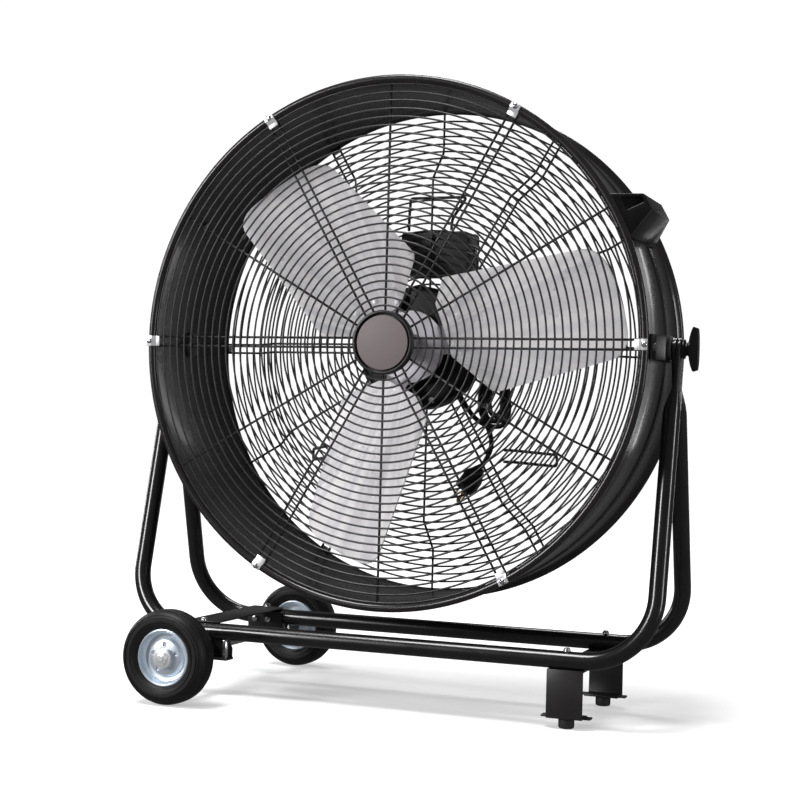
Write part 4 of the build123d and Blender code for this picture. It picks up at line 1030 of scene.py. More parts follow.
@dataclass
class CentreCap(Assembly):
    """The round cap at the middle of the front grille."""

    radius: float = 40.0
    disc_radius: float = 35.8
    groove: float = 2.2
    front_y: float = -100.75
    rear_y: float = -93.75
    body: str = "drum_head"

    def build(self) -> None:
        """Turn the cap's ring and its bare face."""
        axis = BACK
        floor = self.front_y + 1.5
        edge = self.disc_radius - self.groove
        lip = [(edge - 0.2, floor), (edge + 0.1, floor + 2.4), (self.disc_radius, floor + 2.4)]
        lip += [(self.disc_radius + 0.2, self.front_y + 0.7)]
        lip += arc((self.disc_radius + 1.0, self.front_y + 0.7), 0.8, 180, 270, 4)[1:]
        lip += [(self.radius - 1.7, self.front_y)]
        lip += arc((self.radius - 1.7, self.front_y + 1.7), 1.7, 270, 360, 6)[1:]
        lip += [(self.radius, self.rear_y), (0.0, self.rear_y)]
        ring = turned("centre_cap_ring", [(0.0, floor)] + lip, FAN_CENTRE, axis, 96, False)
        self.fit(smooth(ring, 40.0), Finishes.CAP_PLASTIC, ("centre_cap",))
        face_y = self.front_y + 0.3
        face = [(0.0, face_y), (edge - 0.6, face_y), (edge - 0.15, face_y + 0.15)]
        face += [(edge, face_y + 0.6), (edge, face_y + 1.2), (0, face_y + 1.2)]
        disc = turned("centre_cap_face", face, FAN_CENTRE, axis, 96, False)
        self.fit(smooth(disc, 25.0), Finishes.CAP_FACE, ("cap_disc",))


# ---------------------------------------------------------------------- rotor
@dataclass
class Rotor(Assembly):
    """Three cambered blades on a spider hub, with the shaft and its nut."""

    directions: tuple[float, ...] = (10.0, 130.0, 250.0)
    tip_radius: float = 282.0
    rear_offset: float = 56.0
    front_offset: float = 74.0
    sheet: float = 2.0
    chord_y: float = -17.0
    camber: float = 9.0
    root_slope: float = 0.50
    tip_slope: float = 0.42
    hub_radius: float = 46.0
    rivet_rows: tuple = ((75.0, (-26.0, 0.0, 26.0)), (58.0, (-20.0, 2.0)))
    rivet_radius: float = 4.0
    rivet_dome: float = 0.5
    root: tuple[Pair, ...] = ((52.0, -21.0), (52.0, 45.0), (72.0, 72.0))
    heel: float = 96.0
    heel_round: float = 8.0
    tip_corner: float = 24.0
    tip_blend: float = 0.10
    shares: tuple[float, ...] = (0.14, 0.28, 0.43, 0.57, 0.72, 0.86)
    cell: float = 8.0
    body: str = "fan_rotor"

    def build(self) -> None:
        """Make and dress the rotor's pieces."""
        first = self.blade()
        for number, direction in enumerate(self.directions, start=1):
            turn = about(FAN_CENTRE, -direction, BACK)
            piece = copied(first, f"blade_{number}_sheet", turn)
            self.fit(piece, Finishes.BLADE_PAINT, (f"blade_{number}",))
        bpy.data.objects.remove(first)
        self.rivets()
        self.soften("spider_hub", Finishes.HUB_METAL, 0.5)
        self.soften("hub_nut", Finishes.ZINC, 0.8)
        self.keep(Finishes.BARE_STEEL, "motor_shaft")
        self.keep(Finishes.CORE_STEEL, "rotor_core")

    def curve(self, distance: float) -> tuple[float, float, float]:
        """Centre and radius of the blade's middle line at a place along its span."""
        share = (distance - self.hub_radius) / (self.tip_radius - self.hub_radius)
        slope = self.root_slope + share * (self.tip_slope - self.root_slope)
        half, sag = self.front_offset, self.camber
        rise = slope * half
        middle = -self.chord_y - sag
        x1, y1, x2, y2 = half, rise + sag, -half, -rise + sag
        up = (x1**2 + y1**2 - (x2**2 + y2**2) * x1 / x2) / (2 * (y1 - y2 * x1 / x2))
        across = (x1**2 + y1**2 - 2 * up * y1) / (2 * x1)
        return across, middle + up, hypot(across, up)

    def height(self, distance: float, chord: float) -> float:
        """Height of the blade's middle surface towards the front."""
        across, up, radius = self.curve(distance)
        return up - sqrt(radius**2 - (chord - across) ** 2)

    def rise(self, distance: float, chord: float) -> float:
        """Slope of the blade's middle surface across its chord."""
        across, _, radius = self.curve(distance)
        return (chord - across) / sqrt(radius**2 - (chord - across) ** 2)

    def plan(self) -> list[Pair]:
        """The outline of the flat blade, as distances from the axis and places on the chord.

        Returns:
            The outline's corners, from the trailing edge inwards and round.
        """
        front, rear, reach = self.front_offset, self.rear_offset, self.tip_radius
        toe = Vector((sqrt(reach**2 - front**2), front))
        tip, heel = Vector((sqrt(reach**2 - rear**2), -rear)), Vector((self.heel, -front))
        out, home = (tip - heel).normalized(), (Vector(self.root[0]) - heel).normalized()
        before, after = heel + out * self.heel_round, heel + home * self.heel_round
        line = eased(before, heel, after, [i / 6 for i in range(7)])
        first = atan2(front, toe.x) - self.tip_blend
        last = self.tip_blend - atan2(rear, tip.x)
        turns = [first + (last - first) * i / 16 for i in range(17)]
        bow = [(reach * cos(a), reach * sin(a)) for a in turns]
        start = toe - Vector((self.tip_corner, 0.0))
        line += [*self.root, tuple(start), *eased(start, toe, Vector(bow[0]), self.shares), *bow]
        end = tip - out * self.tip_corner
        return line + eased(Vector(bow[-1]), tip, end, (*self.shares, 1.0))

    def blade(self) -> Piece:
        """Cut one flat sheet to the outline, divide it and press it to its camber."""
        corners = [metres((x, 0, y)) for x, y in self.plan()]
        piece = outline("blade_blank", corners, True)
        with editing(piece):
            bpy.ops.mesh.select_all(action="SELECT")
            bpy.ops.mesh.edge_face_add()
            low, half = self.root[0][0], self.front_offset
            cuts = [((x, 0.0, 0.0), (1.0, 0.0, 0.0)) for x in self._cuts(low, self.tip_radius)]
            cuts += [((0.0, 0.0, z), (0.0, 0.0, 1.0)) for z in self._cuts(-half, half)]
            for place, normal in cuts:
                bpy.ops.mesh.select_all(action="SELECT")
                bpy.ops.mesh.bisect(plane_co=metres(place), plane_no=normal)
        for spot in piece.data.vertices:
            distance, chord = spot.co.x / MM, spot.co.z / MM
            spot.co = metres((distance, -self.height(distance, chord), TILT_HEIGHT + chord))
        modified(piece, "SOLIDIFY", thickness=self.sheet * MM, offset=0.0)
        return smooth(bevelled(mend(piece), 0.5, 2, 60.0), 40.0)

    def _cuts(self, low: float, high: float) -> list[float]:
        """Even places between two ends, about a cell apart."""
        count = ceil((high - low) / self.cell)
        return [low + (high - low) * i / count for i in range(1, count)]

    def rivets(self) -> Piece:
        """Set the domed rivets on each blade's root."""
        heads = []
        for distance, chords in self.rivet_rows:
            for chord in chords:
                lean = atan2(self.rise(distance, chord), 1.0)
                clear_selection()
                bpy.ops.mesh.primitive_uv_sphere_add(
                    segments=16, ring_count=8, radius=self.rivet_radius * MM
                )
                head = bpy.context.object
                head.scale.z = self.rivet_dome
                settle(head)
                with editing(head):
                    bpy.ops.mesh.select_all(action="SELECT")
                    bpy.ops.mesh.bisect(
                        plane_co=(0, 0, 0), plane_no=(0, 0, 1), clear_inner=True, use_fill=True
                    )
                surface = self.height(distance, chord) + self.sheet / 2 / cos(lean)
                place = metres((distance, -surface, TILT_HEIGHT + chord))
                normal = Vector((0.0, -cos(lean), -sin(lean)))
                head.matrix_world = Matrix.Translation(place) @ (
                    normal.to_track_quat("Z", "X").to_matrix().to_4x4()
                )
                heads.append(settle(head))
        first = joined("rivet_set", heads)
        sets = []
        for direction in self.directions:
            turn = about(FAN_CENTRE, -direction, BACK)
            sets.append(copied(first, "rivet_set", turn))
        bpy.data.objects.remove(first)
        piece = smooth(joined("blade_rivets_domed", sets), 60.0)
        return self.fit(piece, Finishes.BLADE_PAINT, ("blade_rivets",))


# ---------------------------------------------------------------------- motor and controls
@dataclass
class Motor(Assembly):
    """The flat motor on the rear grille."""

    radius: float = 80.0
    front_y: float = 14.0
    rear_y: float = 58.0
    split_y: float = 36.0
    bore: float = 9.0
    seat: float = 24.0
    body: str = "drum_head"

    def build(self) -> None:
        """Make and dress the motor's pieces."""
        axis = BACK
        front = [(self.bore, self.front_y), (self.seat, self.front_y)]
        front += [(self.seat + 2, self.front_y + 1.5), (44.0, self.front_y + 1.5)]
        front += [(46.0, self.front_y), (70.0, self.front_y)]
        front += arc((self.radius - 9.0, self.front_y + 9.0), 9.0, 270, 360, 8)[1:]
        front += [(self.radius, self.split_y - 1.2), (self.radius - 0.9, self.split_y)]
        front += [(self.radius - 3.0, self.split_y), (self.radius - 3.0, self.front_y + 10.0)]
        front += [(69.0, self.front_y + 4.0), (self.bore, self.front_y + 4.0)]
        shell = turned("motor_front_turned", front, FAN_CENTRE, axis, 96)
        self.fit(smooth(shell, 35.0), Finishes.MOTOR_PAINT, ("motor_front_shell",))
        rear = [(0.0, self.rear_y), (self.radius - 9.0, self.rear_y)]
        rear += list(reversed(arc((self.radius - 9.0, self.rear_y - 9.0), 9.0, 0, 90, 8)))[1:]
        rear += [(self.radius, self.split_y + 1.2), (self.radius - 0.9, self.split_y)]
        rear += [(self.radius - 3.0, self.split_y), (self.radius - 3.0, self.rear_y - 10.0)]
        rear += [(69.0, self.rear_y - 4.0), (0.0, self.rear_y - 4.0)]
        shell = turned("motor_rear_turned", rear, FAN_CENTRE, axis, 96, False)
        self.fit(smooth(shell, 35.0), Finishes.MOTOR_PAINT, ("motor_rear_shell",))
        self.soften("motor_mount_plate", Finishes.PLATE_PAINT, 0.4)
        self.keep(Finishes.ZINC, "motor_screws")
        self.keep(Finishes.CORE_STEEL, "motor_stator")
        self.keep(Finishes.BARE_STEEL, "motor_bearings")


@dataclass
class Controls(Assembly):
    """The control box with its knob and switch."""

    knob_centre: Point = (2.5, 110.3, 577.5)
    knob_radius: float = 17.0
    knob_length: float = 14.0
    skirt_share: float = 0.42
    bar_width: float = 9.0
    bar_draft: Pair = (0.72, 0.94)
    body: str = "drum_head"

    def build(self) -> None:
        """Make and dress the control box."""
        self.soften("control_box", Finishes.BOX_PLASTIC, 1.2, 3)
        self.soften("control_box_cover", Finishes.BOX_PLASTIC, 0.8, 3)
        self.soften("control_box_screws", Finishes.ZINC, 0.5)
        self.keep(Finishes.BOX_PLASTIC, "speed_switch")
        self.keep(Finishes.CAPACITOR, "run_capacitor")
        self.knob()

    def knob(self) -> Piece:
        """Turn the speed knob's skirt and raise its grip bar."""
        centre = metres(self.knob_centre)
        skirt = self.knob_length * self.skirt_share
        profile = [(0, 0), (self.knob_radius, 0), (self.knob_radius, 1.5)]
        profile += [(self.knob_radius - 1.2, skirt - 1.2), (self.knob_radius - 2.6, skirt)]
        profile += [(0, skirt)]
        disc = turned("knob_skirt", profile, centre, BACK, 48, False)
        bar = block(
            "knob_bar",
            centre + metres((0, (skirt + self.knob_length) / 2 - 0.5, 0)),
            (self.bar_width, self.knob_length - skirt + 1.0, 2 * self.knob_radius - 4),
        )
        for spot in bar.data.vertices:
            if spot.co.y > centre.y + self.knob_length * 0.8 * MM:
                spot.co.x = centre.x + (spot.co.x - centre.x) * self.bar_draft[0]
                spot.co.z = centre.z + (spot.co.z - centre.z) * self.bar_draft[1]
        bevelled(bar, 1.6, 3)
        stem = rod("knob_stem", centre - metres((0, 6.5, 0)), centre + metres((0, 1, 0)), 2.95, 20)
        piece = smooth(joined("speed_knob_turned", [disc, bar, stem]), 35.0)
        return self.fit(piece, Finishes.KNOB_PLASTIC, ("speed_knob",), "speed_dial")


@dataclass
class CordSet(Assembly):
    """The mains cord, tied up on the rear grille, with its hooks, gland, tie and plug."""

    diameter: float = 6.5
    hank_x: float = 87.4
    layer_y: float = 74.0
    waist_z: float = 428.0
    loops_per_layer: int = 2
    step: float = 7.05
    layer_step: float = 7.2
    half_width: float = 25.6
    half_height: float = 74.0
    draw_in: float = 10.0
    end_run: float = 20.0
    gland_top: Point = (36.0, 74.0, 549.0)
    lead: tuple[Point, ...] = (
        (36.0, 74.0, 525.0), (36.0, 74.0, 501.0), (31.0, 78.0, 472.0), (27.0, 80.0, 443.0),
        (29.0, 81.5, 412.0), (41.0, 80.5, 385.0),
    )
    tail: tuple[Point, ...] = (
        (65.5, 87.5, 369.0), (74.5, 92.5, 350.5), (82.0, 92.0, 331.0), (78.0, 90.0, 311.0),
        (68.0, 88.0, 296.5),
    )
    hook_wire: float = 2.0
    hook_y: float = 67.5
    side_hooks: tuple[Point, ...] = ((120.0, 313.0, 1), (-148.0, 310.0, -1))
    side_hook: tuple[Point, ...] = (
        (-14.0, 0.0, 7.5), (-2.0, 0.0, 7.5), (4.0, 5.0, 6.9), (37.0, 47.5, 3.1),
        (42.0, 54.0, 2.3), (42.0, 54.0, -12.3), (37.0, 47.5, -12.1), (4.0, 5.0, -8.1),
        (-2.0, 0.0, -7.5), (-14.0, 0.0, -7.5),
    )
    top_hook_x: float = -4.5
    top_hook: tuple[Point, ...] = (
        (30.0, 0.0, 607.5), (30.0, 0.0, 618.5), (31.5, 4.0, 626.5), (37.5, 22.0, 646.0),
        (40.0, 28.0, 655.0), (29.0, 28.0, 655.0),
    )
    body: str = "drum_head"

    def build(self) -> None:
        """Make and dress the cord and all that carries it."""
        self.hooks()
        self.gland()
        self.soften("cord_tie", Finishes.TIE_PLASTIC, 0.3)
        plug = self.soften("plug_body", Finishes.CORD, 2.2, 3)
        pins = self.soften("plug_pins", Finishes.BRASS, 0.4)
        self.cord(plug, pins)

    def hank_points(self) -> list[Point]:
        """The route's points through the tied hank, in millimetres."""
        runs = 4 * self.loops_per_layer - 1
        climbing = runs // 2
        spread = self.draw_in / self.half_height
        points: list[Point] = []
        for run in range(runs + 1):
            waist = self.half_width - self.draw_in - min(run, runs - run) * self.step / 2
            side = 1 if run % 2 == 0 else -1
            layers = [
                self.layer_y + self.layer_step * (place > runs / 2) for place in (run, run + 1)
            ]
            height_in = self.half_height - min(run - 1, runs - run) * self.step / 2
            height_out = self.half_height - min(run, runs - run - 1) * self.step / 2
            offset_in = waist + spread * height_in
            offset_out = waist + spread * height_out
            if run == climbing:
                waist -= 0.42 * self.step
                offset_out -= 0.5 * self.step
            middle = (layers[0] + layers[1]) / 2
            points += [
                (self.hank_x + side * offset_in, layers[0], self.waist_z - side * height_in),
                (self.hank_x + side * waist, middle, self.waist_z),
                (self.hank_x + side * offset_out, layers[1], self.waist_z + side * height_out),
            ]
        exit_corner = Vector(points.pop())
        end = Vector(points[-1])
        end += (exit_corner - end).normalized() * self.end_run
        return points + [tuple(end)]

    def cord(self, plug: Piece, pins: Piece) -> Piece:
        """Lay the cord on one smooth line from the gland through the hank to the plug."""
        hank = self.hank_points()
        entry = (70.0, self.layer_y + 2.0, hank[0][2])
        way = (Vector(hank[-1]) - Vector(hank[-2])).normalized()
        leave = tuple(Vector(hank[-1]) + way * 19.0)
        route = [*self.lead, entry, *hank, leave, *self.tail]
        piece = laid("mains_cord", route, self.diameter / 2, 12, 5)
        self.fit(piece, Finishes.CORD, ("cord_lead", "cord_hank", "cord_tail"))
        return piece

    def hooks(self) -> Piece:
        """Bend the two side hooks and the top hook from round wire."""
        wires = []
        for x, z, side in self.side_hooks:
            route = [(x + side * out, self.hook_y + y, z + up) for out, y, up in self.side_hook]
            wires.append(bent_wire("side_hook", route, self.hook_wire))
        left, right = (
            [(self.top_hook_x + side * out, self.hook_y + y, z) for out, y, z in self.top_hook]
            for side in (-1, 1)
        )
        wires.append(bent_wire("top_hook", left + right[::-1], self.hook_wire))
        piece = smooth(joined("cord_hooks_bent", wires), 50.0)
        return self.fit(piece, Finishes.WIRE_COAT, ("cord_hooks",))

    def gland(self) -> Piece:
        """Turn the tapered strain relief with its ribs."""
        profile = [(0.0, 0.0), (7.4, 0.0), (7.4, 3.0), (6.9, 3.6)]
        for i in range(6):
            start = 4.4 + i * 3.1
            radius = 6.7 - 0.38 * i
            profile += [(radius, start), (radius - 0.1, start + 1.7), (radius - 1.2, start + 2.1)]
            profile += [(radius - 1.2, start + 2.8)]
        profile += [(4.4, 23.4), (4.0, 24.0), (0.0, 24.0)]
        top = metres(self.gland_top)
        piece = turned("cord_gland_ribbed", profile, top, Vector((0, 0, -1)), 32, False)
        return self.fit(smooth(piece, 35.0), Finishes.CORD, ("cord_gland",))


# ---------------------------------------------------------------------- stand
@dataclass
class Stand(Assembly):
    """The two tube hoops, the cross plate, the foot channel and the axle."""

    tube: float = 10.5
    rail_z: float = 80.0
    rail_y: float = 91.0
    leg_x: float = 342.0
    bend: float = 80.0
    flat: tuple[float, float, float] = (6.0, 27.0, 42.0)
    flare: float = 40.0
    meet_x: float = 344.0
    sides: int = 32
    body: str = "stand"

    def build(self) -> None:
        """Make and dress the stand's pieces."""
        for side, name in ((-1, "front"), (1, "rear")):
            self.hoop(side, name)
        self.soften("wheel_end_plate", Finishes.PLATE_PAINT, 0.6)
        self.soften("foot_channel", Finishes.PLATE_PAINT, 0.8)
        self.soften("axle_brackets", Finishes.PLATE_PAINT, 0.7)
        self.soften("frame_bolts", Finishes.ZINC, 0.5)
        self.keep(Finishes.BARE_STEEL, "axle")
        self.keep(Finishes.BOX_PLASTIC, "axle_spacers")
        self.feet()

    def hoop(self, side: int, name: str) -> Piece:
        """Bend one hoop from tube and flatten its two ends.

        Args:
            side: -1 for the front hoop, 1 for the rear one.
            name: its name.

        Returns:
            The finished hoop.
        """
        drop = hypot(self.rail_y, TILT_HEIGHT - self.rail_z)
        neck = self.flat[2] + self.flare
        straight = drop - self.bend - neck
        clear_selection()
        bpy.ops.mesh.primitive_circle_add(
            vertices=self.sides, radius=self.tube * MM, location=metres((-self.leg_x, 0, -neck))
        )
        piece = settle(bpy.context.object)
        piece.name = f"{name}_hoop_bent"
        levels = self.end_levels(neck)
        with editing(piece):
            bpy.ops.mesh.select_all(action="SELECT")
            self.extrude((0, 0, -straight))
            for centre_x in (self.bend - self.leg_x, self.leg_x - self.bend):
                bpy.ops.mesh.spin(
                    steps=20, angle=pi / 2, axis=(0, 1, 0),
                    center=metres((centre_x, 0, self.bend - drop)),
                )
                if centre_x < 0:
                    self.extrude((2 * (self.leg_x - self.bend), 0, 0))
            self.extrude((0, 0, straight))
            self.flatten(levels)
        with editing(piece):
            top = -neck * MM
            bpy.ops.object.mode_set(mode="OBJECT")
            for spot in piece.data.vertices:
                spot.select = spot.co.x < 0 and abs(spot.co.z - top) < 1e-6
            bpy.ops.object.mode_set(mode="EDIT")
            self.flatten(levels)
        self.press(piece, side, neck)
        mend(piece)
        lean = atan2(self.rail_y, TILT_HEIGHT - self.rail_z)
        piece.rotation_euler = (side * lean, 0, 0)
        piece.location = FAN_CENTRE
        return self.fit(smooth(settle(piece), 35.0), Finishes.TUBE_PAINT, (f"{name}_hoop",))

    def end_levels(self, neck: float) -> list[float]:
        """Heights of the rings from the round tube to the rounded tip of its flat end."""
        half = self.flat[1] / 2
        flare = [-neck + self.flare * i / 10 for i in range(11)]
        tip = [half * sin(radians(a)) for a in (0, 15, 30, 45, 60, 72, 82)]
        return flare + tip

    @staticmethod
    def extrude(step: Point) -> None:
        """Extrude what is selected by a step in millimetres."""
        bpy.ops.mesh.extrude_region_move(TRANSFORM_OT_translate={"value": metres(step)})

    def flatten(self, levels: Sequence[float]) -> None:
        """Extrude the rings of one end upwards and close its tip."""
        for low, high in zip(levels, levels[1:]):
            self.extrude((0, 0, high - low))
        bpy.ops.mesh.edge_face_add()

    def press(self, piece: Piece, side: int, neck: float) -> None:
        """Press the tube's ends flat, as a tool would.

        Args:
            piece: the hoop, upright in its own plane.
            side: -1 for the front hoop, 1 for the rear one.
            neck: where the flare starts below the pivot.
        """
        thick, wide, _ = self.flat
        strip_x = self.meet_x - side * thick / 2
        for spot in piece.data.vertices:
            height = spot.co.z / MM
            if height <= -neck + 1e-4:
                continue
            end = 1 if spot.co.x > 0 else -1
            share = min(1.0, (height + neck) / self.flare)
            ease = share * share * (3 - 2 * share)
            turn = atan2(spot.co.y, spot.co.x - end * self.leg_x * MM)
            power = 2.0 / (2.0 + 5.0 * ease)
            half_x = self.tube + (thick / 2 - self.tube) * ease
            half_y = self.tube + (wide / 2 - self.tube) * ease
            if height > 0:
                half_y = sqrt(max(0.0, (wide / 2) ** 2 - height**2))
            middle = self.leg_x + (strip_x - self.leg_x) * ease
            across = half_x * abs(cos(turn)) ** power * (1 if cos(turn) > 0 else -1)
            along = half_y * abs(sin(turn)) ** power * (1 if sin(turn) > 0 else -1)
            spot.co.x = (end * middle + across) * MM
            spot.co.y = along * MM

    def feet(self) -> Piece:
        """Turn the two rubber feet."""
        profile = [(0.0, 0.0), (7.6, 0.0), (8.6, 0.4), (9.2, 1.4), (9.5, 3.0), (9.5, 10.2)]
        profile += [(9.1, 11.3), (8.2, 12.0), (0.0, 12.0)]
        feet = []
        for y in (-86.0, 86.0):
            place = metres((241.0, y, 0.0))
            feet.append(turned("rubber_foot", profile, place, Vector((0, 0, 1)), 40, False))
        piece = smooth(joined("rubber_feet_turned", feet), 40.0)
        return self.fit(piece, Finishes.FOOT_RUBBER, ("rubber_feet",))


@dataclass
class Wheels(Assembly):
    """The two rubber-tyred wheels on the axle."""

    centre: tuple[float, float] = (-237.0, 58.0)
    spread: float = 185.0
    dimples: int = 5
    dimple_start: float = 20.0
    dimple_circle: float = 16.4
    dimple_radius: float = 2.9
    dimple_floor: float = 6.6
    punch_end: float = 20.0
    body: str = "stand"

    def build(self) -> None:
        """Make and dress both wheels and their axle caps."""
        for side, name in ((-1, "front"), (1, "rear")):
            middle = metres((self.centre[0], side * self.spread, self.centre[1]))
            self.tyre(middle, name)
            self.rim(middle, name)
        self.caps()

    def tyre(self, middle: Vector, name: str) -> Piece:
        """Mould one tyre with ribbed side walls and a grooved tread."""
        half = [(35.2, 12.6), (36.0, 14.4), (37.6, 16.2), (39.6, 17.3), (40.6, 17.4), (41.0, 18.5)]
        half += [(42.0, 18.7), (42.5, 17.7), (43.1, 17.8), (43.6, 18.6), (46.3, 18.9), (48.0, 18.7)]
        half += [(48.5, 17.6), (49.1, 17.5), (49.6, 18.5), (50.8, 18.2), (51.3, 17.0), (51.9, 16.8)]
        half += [(52.4, 17.2), (53.6, 16.3), (55.2, 14.4)]
        half += [(56.4, 12.2), (57.3, 9.6), (57.7, 8.4), (56.7, 8.1), (56.7, 6.9), (57.85, 6.6)]
        half += [(57.95, 4.0), (57.0, 3.7), (57.0, 2.6), (58.0, 2.3)]
        profile = half + [(r, -y) for r, y in reversed(half)]
        piece = turned(f"wheel_tyre_{name}_moulded", profile, middle, BACK, 96)
        node = f"wheel_tyre_{name}"
        return self.fit(smooth(piece, 50.0), Finishes.TYRE, (node,), f"wheel_{name}")

    def rim(self, middle: Vector, name: str) -> Piece:
        """Press one rim from two plated discs, with blind dimples round its hub."""
        half = [(6.05, 13.0), (10.4, 13.0), (11.0, 12.4), (11.2, 9.2), (12.2, 8.4), (20.6, 8.0)]
        half += [(21.6, 7.4), (22.3, 5.6), (22.9, 3.6), (24.0, 2.6), (27.4, 2.6), (29.2, 3.4)]
        half += [(30.4, 5.4), (31.2, 8.4), (31.8, 11.4), (32.4, 13.0), (33.6, 13.7), (34.8, 13.2)]
        half += [(35.0, 12.4)]
        profile = half + [(r, -y) for r, y in reversed(half)]
        piece = turned(f"wheel_rim_{name}_pressed", profile, middle, BACK, 80)
        pins = []
        for i in range(self.dimples):
            a = radians(360 / self.dimples * i + self.dimple_start)
            place = middle + metres((self.dimple_circle * cos(a), 0, self.dimple_circle * sin(a)))
            for way in (-1, 1):
                ends = (metres((0, way * y, 0)) for y in (self.dimple_floor, self.punch_end))
                pins.append(rod("punch", *(place + end for end in ends), self.dimple_radius, 20))
        cut_out(piece, joined("punch", pins))
        node = f"wheel_rim_{name}"
        return self.fit(smooth(piece, 35.0), Finishes.RIM_ZINC, (node,), f"wheel_{name}")

    def caps(self) -> Piece:
        """Turn the stepped caps on the axle's ends."""
        inner, outer = self.spread + 13.3, self.spread + 19.0
        step = outer - inner
        profile = [(6.06, 0.0), (12.2, 0.0), (12.2, step - 4.0), (11.6, step - 3.4)]
        profile += [(8.6, step - 3.0), (7.8, step - 2.6), (7.5, step - 1.5), (6.8, step - 0.9)]
        profile += [(3.9, step - 0.7), (3.5, step - 0.4), (3.1, step), (0.0, step)]
        profile += [(0.0, step - 2.3), (6.06, step - 2.3)]
        caps = []
        for side in (-1, 1):
            place = metres((self.centre[0], side * inner, self.centre[1]))
            line = Vector((0, side, 0))
            caps.append(turned("axle_cap", profile, place, line, 40, True))
        piece = smooth(joined("axle_caps_turned", caps), 35.0)
        return self.fit(piece, Finishes.PLATE_ZINC, ("axle_caps",))


@dataclass
class ClampKnobs(Assembly):
    """The two hand knobs that clamp the tilt."""

    face_x: float = 350.3
    hub_length: float = 7.0
    thinned: Pair = (0.34, 0.30)
    crowned: float = 0.16
    swept: float = 0.34
    drawn: float = 0.07
    bar: tuple[float, float, float] = (12.0, 15.0, 54.0)
    shaft: float = 5.0
    shaft_start: float = 325.0
    body: str = "stand"

    def build(self) -> None:
        """Make and dress both knobs."""
        for side, name in ((1, "right"), (-1, "left")):
            self.knob(side, name)

    def knob(self, side: int, name: str) -> Piece:
        """Turn one knob's waisted hub and shape its grip bar."""
        centre = metres((side * self.face_x, 0, TILT_HEIGHT))
        hub = [(0.0, 0.0), (11.2, 0.0), (12.0, 0.8), (11.9, 2.2), (9.4, 3.0), (8.0, 4.0)]
        hub += [(8.0, 5.6), (9.2, 6.4), (10.4, 7.6), (10.4, 9.0), (0.0, 9.0)]
        pieces = [turned("knob_hub", hub, centre, Vector((side, 0, 0)), 40, False)]
        depth, _, length = self.bar
        middle = centre + metres((side * (self.hub_length + depth / 2), 0, 0))
        bar = block("knob_bar", middle, self.bar)
        with editing(bar):
            bpy.ops.mesh.select_all(action="SELECT")
            bpy.ops.mesh.subdivide(number_cuts=7)
        for spot in bar.data.vertices:
            up = (spot.co.z - centre.z) / (length / 2 * MM)
            out = (abs(spot.co.x) / MM - self.face_x - self.hub_length) / depth
            spot.co.y *= (1.0 - self.thinned[0] * out) * (1.0 - self.thinned[1] * up * up)
            reach = depth * (0.5 + (out - 0.5) * (1 - self.crowned * up**4))
            taper = self.swept * depth * up * up * (1 - out)
            spot.co.x = side * (self.face_x + self.hub_length + reach + taper) * MM
            spot.co.z = centre.z + up * (1.0 - self.drawn * out) * length / 2 * MM
        pieces.append(bevelled(bar, 2.4, 4, 45.0))
        end = metres((side * (self.face_x + 4.0), 0, TILT_HEIGHT))
        start = metres((side * self.shaft_start, 0, TILT_HEIGHT))
        pieces.append(rod("clamp_shaft", start, end, self.shaft, 24))
        piece = smooth(joined(f"tilt_knob_{name}_shaped", pieces), 35.0)
        return self.fit(piece, Finishes.KNOB_PLASTIC, (f"tilt_knob_{name}",), f"tilt_clamp_{name}")


# ---------------------------------------------------------------------- studio
@dataclass
class Lamp:
    """One soft panel of light."""

    name: str
    place: Point
    aim: Point
    size: tuple[float, float]
    power: float


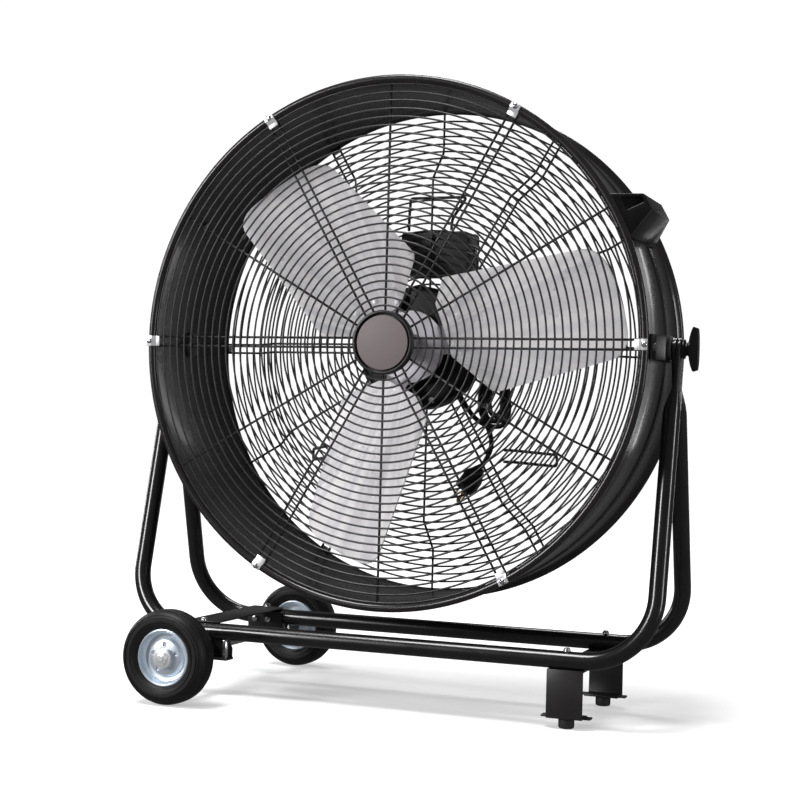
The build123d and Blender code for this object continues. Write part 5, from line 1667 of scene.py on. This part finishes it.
@dataclass
class Studio:
    """The floor, the lights and the camera."""

    camera_place: Point = (742.71, -1906.17, 352.92)
    right: Point = (0.92924, 0.36846, 0.02739)
    up: Point = (-0.02032, -0.02305, 0.99953)
    back: Point = (0.36892, -0.92936, -0.01394)
    lens: float = 71.84
    lamps: tuple[Lamp, ...] = (
        Lamp("key", (-1850, -2650, 1250), (0, 0, 420), (600, 1300), 84.0),
        Lamp("side", (2900, -450, 700), (0, 0, 400), (260, 1500), 26.0),
        Lamp("rim", (-300, 1900, 3000), (0, 0, 450), (1400, 500), 36.0),
        Lamp("left_rim", (-2500, 700, 1000), (0, 0, 450), (350, 1700), 20.0),
        Lamp("right_rim", (450, 3400, 650), (0, 0, 450), (180, 1500), 3.0),
    )
    sky_strength: float = 3.5
    sky_spread: float = 24.0
    sky_turn: Point = (14.0, -12.0, 0.0)
    room: float = 0.12
    backdrop: float = 1.05
    floor_grey: float = 0.60
    floor_glow: float = 0.42

    def build(self) -> None:
        """Set the studio up."""
        self.floor()
        self.world()
        self.ceiling()
        for lamp in self.lamps:
            self.light(lamp)
        self.camera()

    def floor(self) -> Piece:
        """Lay a large pale floor."""
        clear_selection()
        bpy.ops.mesh.primitive_plane_add(size=60.0, location=(0, 0, -0.0004))
        piece = bpy.context.object
        piece.name = "studio_floor"
        piece.visible_glossy = False
        material = bpy.data.materials.new("studio_floor")
        material.use_nodes = True
        shader = material.node_tree.nodes["Principled BSDF"]
        shader.inputs["Base Color"].default_value = (*[self.floor_grey] * 3, 1.0)
        shader.inputs["Emission Color"].default_value = (1.0, 1.0, 1.0, 1.0)
        shader.inputs["Emission Strength"].default_value = self.floor_glow
        shader.inputs["Roughness"].default_value = 0.8
        piece.data.materials.append(material)
        return piece

    def world(self) -> None:
        """Show a white backdrop to the camera, and light the fan from a dim room."""
        world = bpy.data.worlds.new("studio_world")
        bpy.context.scene.world = world
        world.use_nodes = True
        nodes, link = world.node_tree.nodes, world.node_tree.links.new
        room = nodes["Background"]
        room.inputs["Color"].default_value = (1.0, 1.0, 1.0, 1.0)
        room.inputs["Strength"].default_value = self.room
        backdrop = nodes.new("ShaderNodeBackground")
        backdrop.inputs["Color"].default_value = (1.0, 1.0, 1.0, 1.0)
        backdrop.inputs["Strength"].default_value = self.backdrop
        ray = nodes.new("ShaderNodeLightPath")
        mix = nodes.new("ShaderNodeMixShader")
        link(ray.outputs["Is Camera Ray"], mix.inputs["Fac"])
        link(room.outputs["Background"], mix.inputs[1])
        link(backdrop.outputs["Background"], mix.inputs[2])
        link(mix.outputs["Shader"], nodes["World Output"].inputs["Surface"])
        bpy.context.scene.view_settings.view_transform = "Standard"

    def ceiling(self) -> Piece:
        """Let even light fall from a wide ceiling panel far above."""
        data = bpy.data.lights.new("ceiling", "SUN")
        data.energy = self.sky_strength
        data.angle = radians(self.sky_spread)
        item = bpy.data.objects.new("ceiling", data)
        bpy.context.scene.collection.objects.link(item)
        item.rotation_euler = [radians(turn) for turn in self.sky_turn]
        return item

    def light(self, lamp: Lamp) -> Piece:
        """Hang one soft panel and aim it."""
        data = bpy.data.lights.new(lamp.name, "AREA")
        data.shape = "RECTANGLE"
        data.size, data.size_y = lamp.size[0] * MM, lamp.size[1] * MM
        data.energy = lamp.power
        item = bpy.data.objects.new(lamp.name, data)
        item.visible_camera = False
        bpy.context.scene.collection.objects.link(item)
        item.location = metres(lamp.place)
        way = metres(lamp.aim) - item.location
        item.rotation_euler = way.to_track_quat("-Z", "Y").to_euler()
        return item

    def camera(self) -> Piece:
        """Stand the camera where the photograph was taken."""
        data = bpy.data.cameras.new("camera")
        data.lens = self.lens
        data.sensor_width = 36.0
        data.sensor_fit = "AUTO"
        data.clip_start, data.clip_end = 0.05, 100.0
        item = bpy.data.objects.new("camera", data)
        bpy.context.scene.collection.objects.link(item)
        turn = Matrix((self.right, self.up, self.back)).transposed().to_4x4()
        item.matrix_world = Matrix.Translation(metres(self.camera_place)) @ turn
        bpy.context.scene.camera = item
        return item


def main() -> None:
    """Build every sub-assembly in order."""
    logging.basicConfig(level=logging.INFO, format="%(name)s: %(message)s")
    paint = Paintshop()
    Studio().build()
    for assembly in (CordSet, Drum, CentreCap, Rotor, Motor, Controls, Stand, Wheels, ClampKnobs):
        assembly(paint).build()
        log.info("%s done", assembly.__name__)
    clear_selection()


if __name__ == "__main__":
    main()
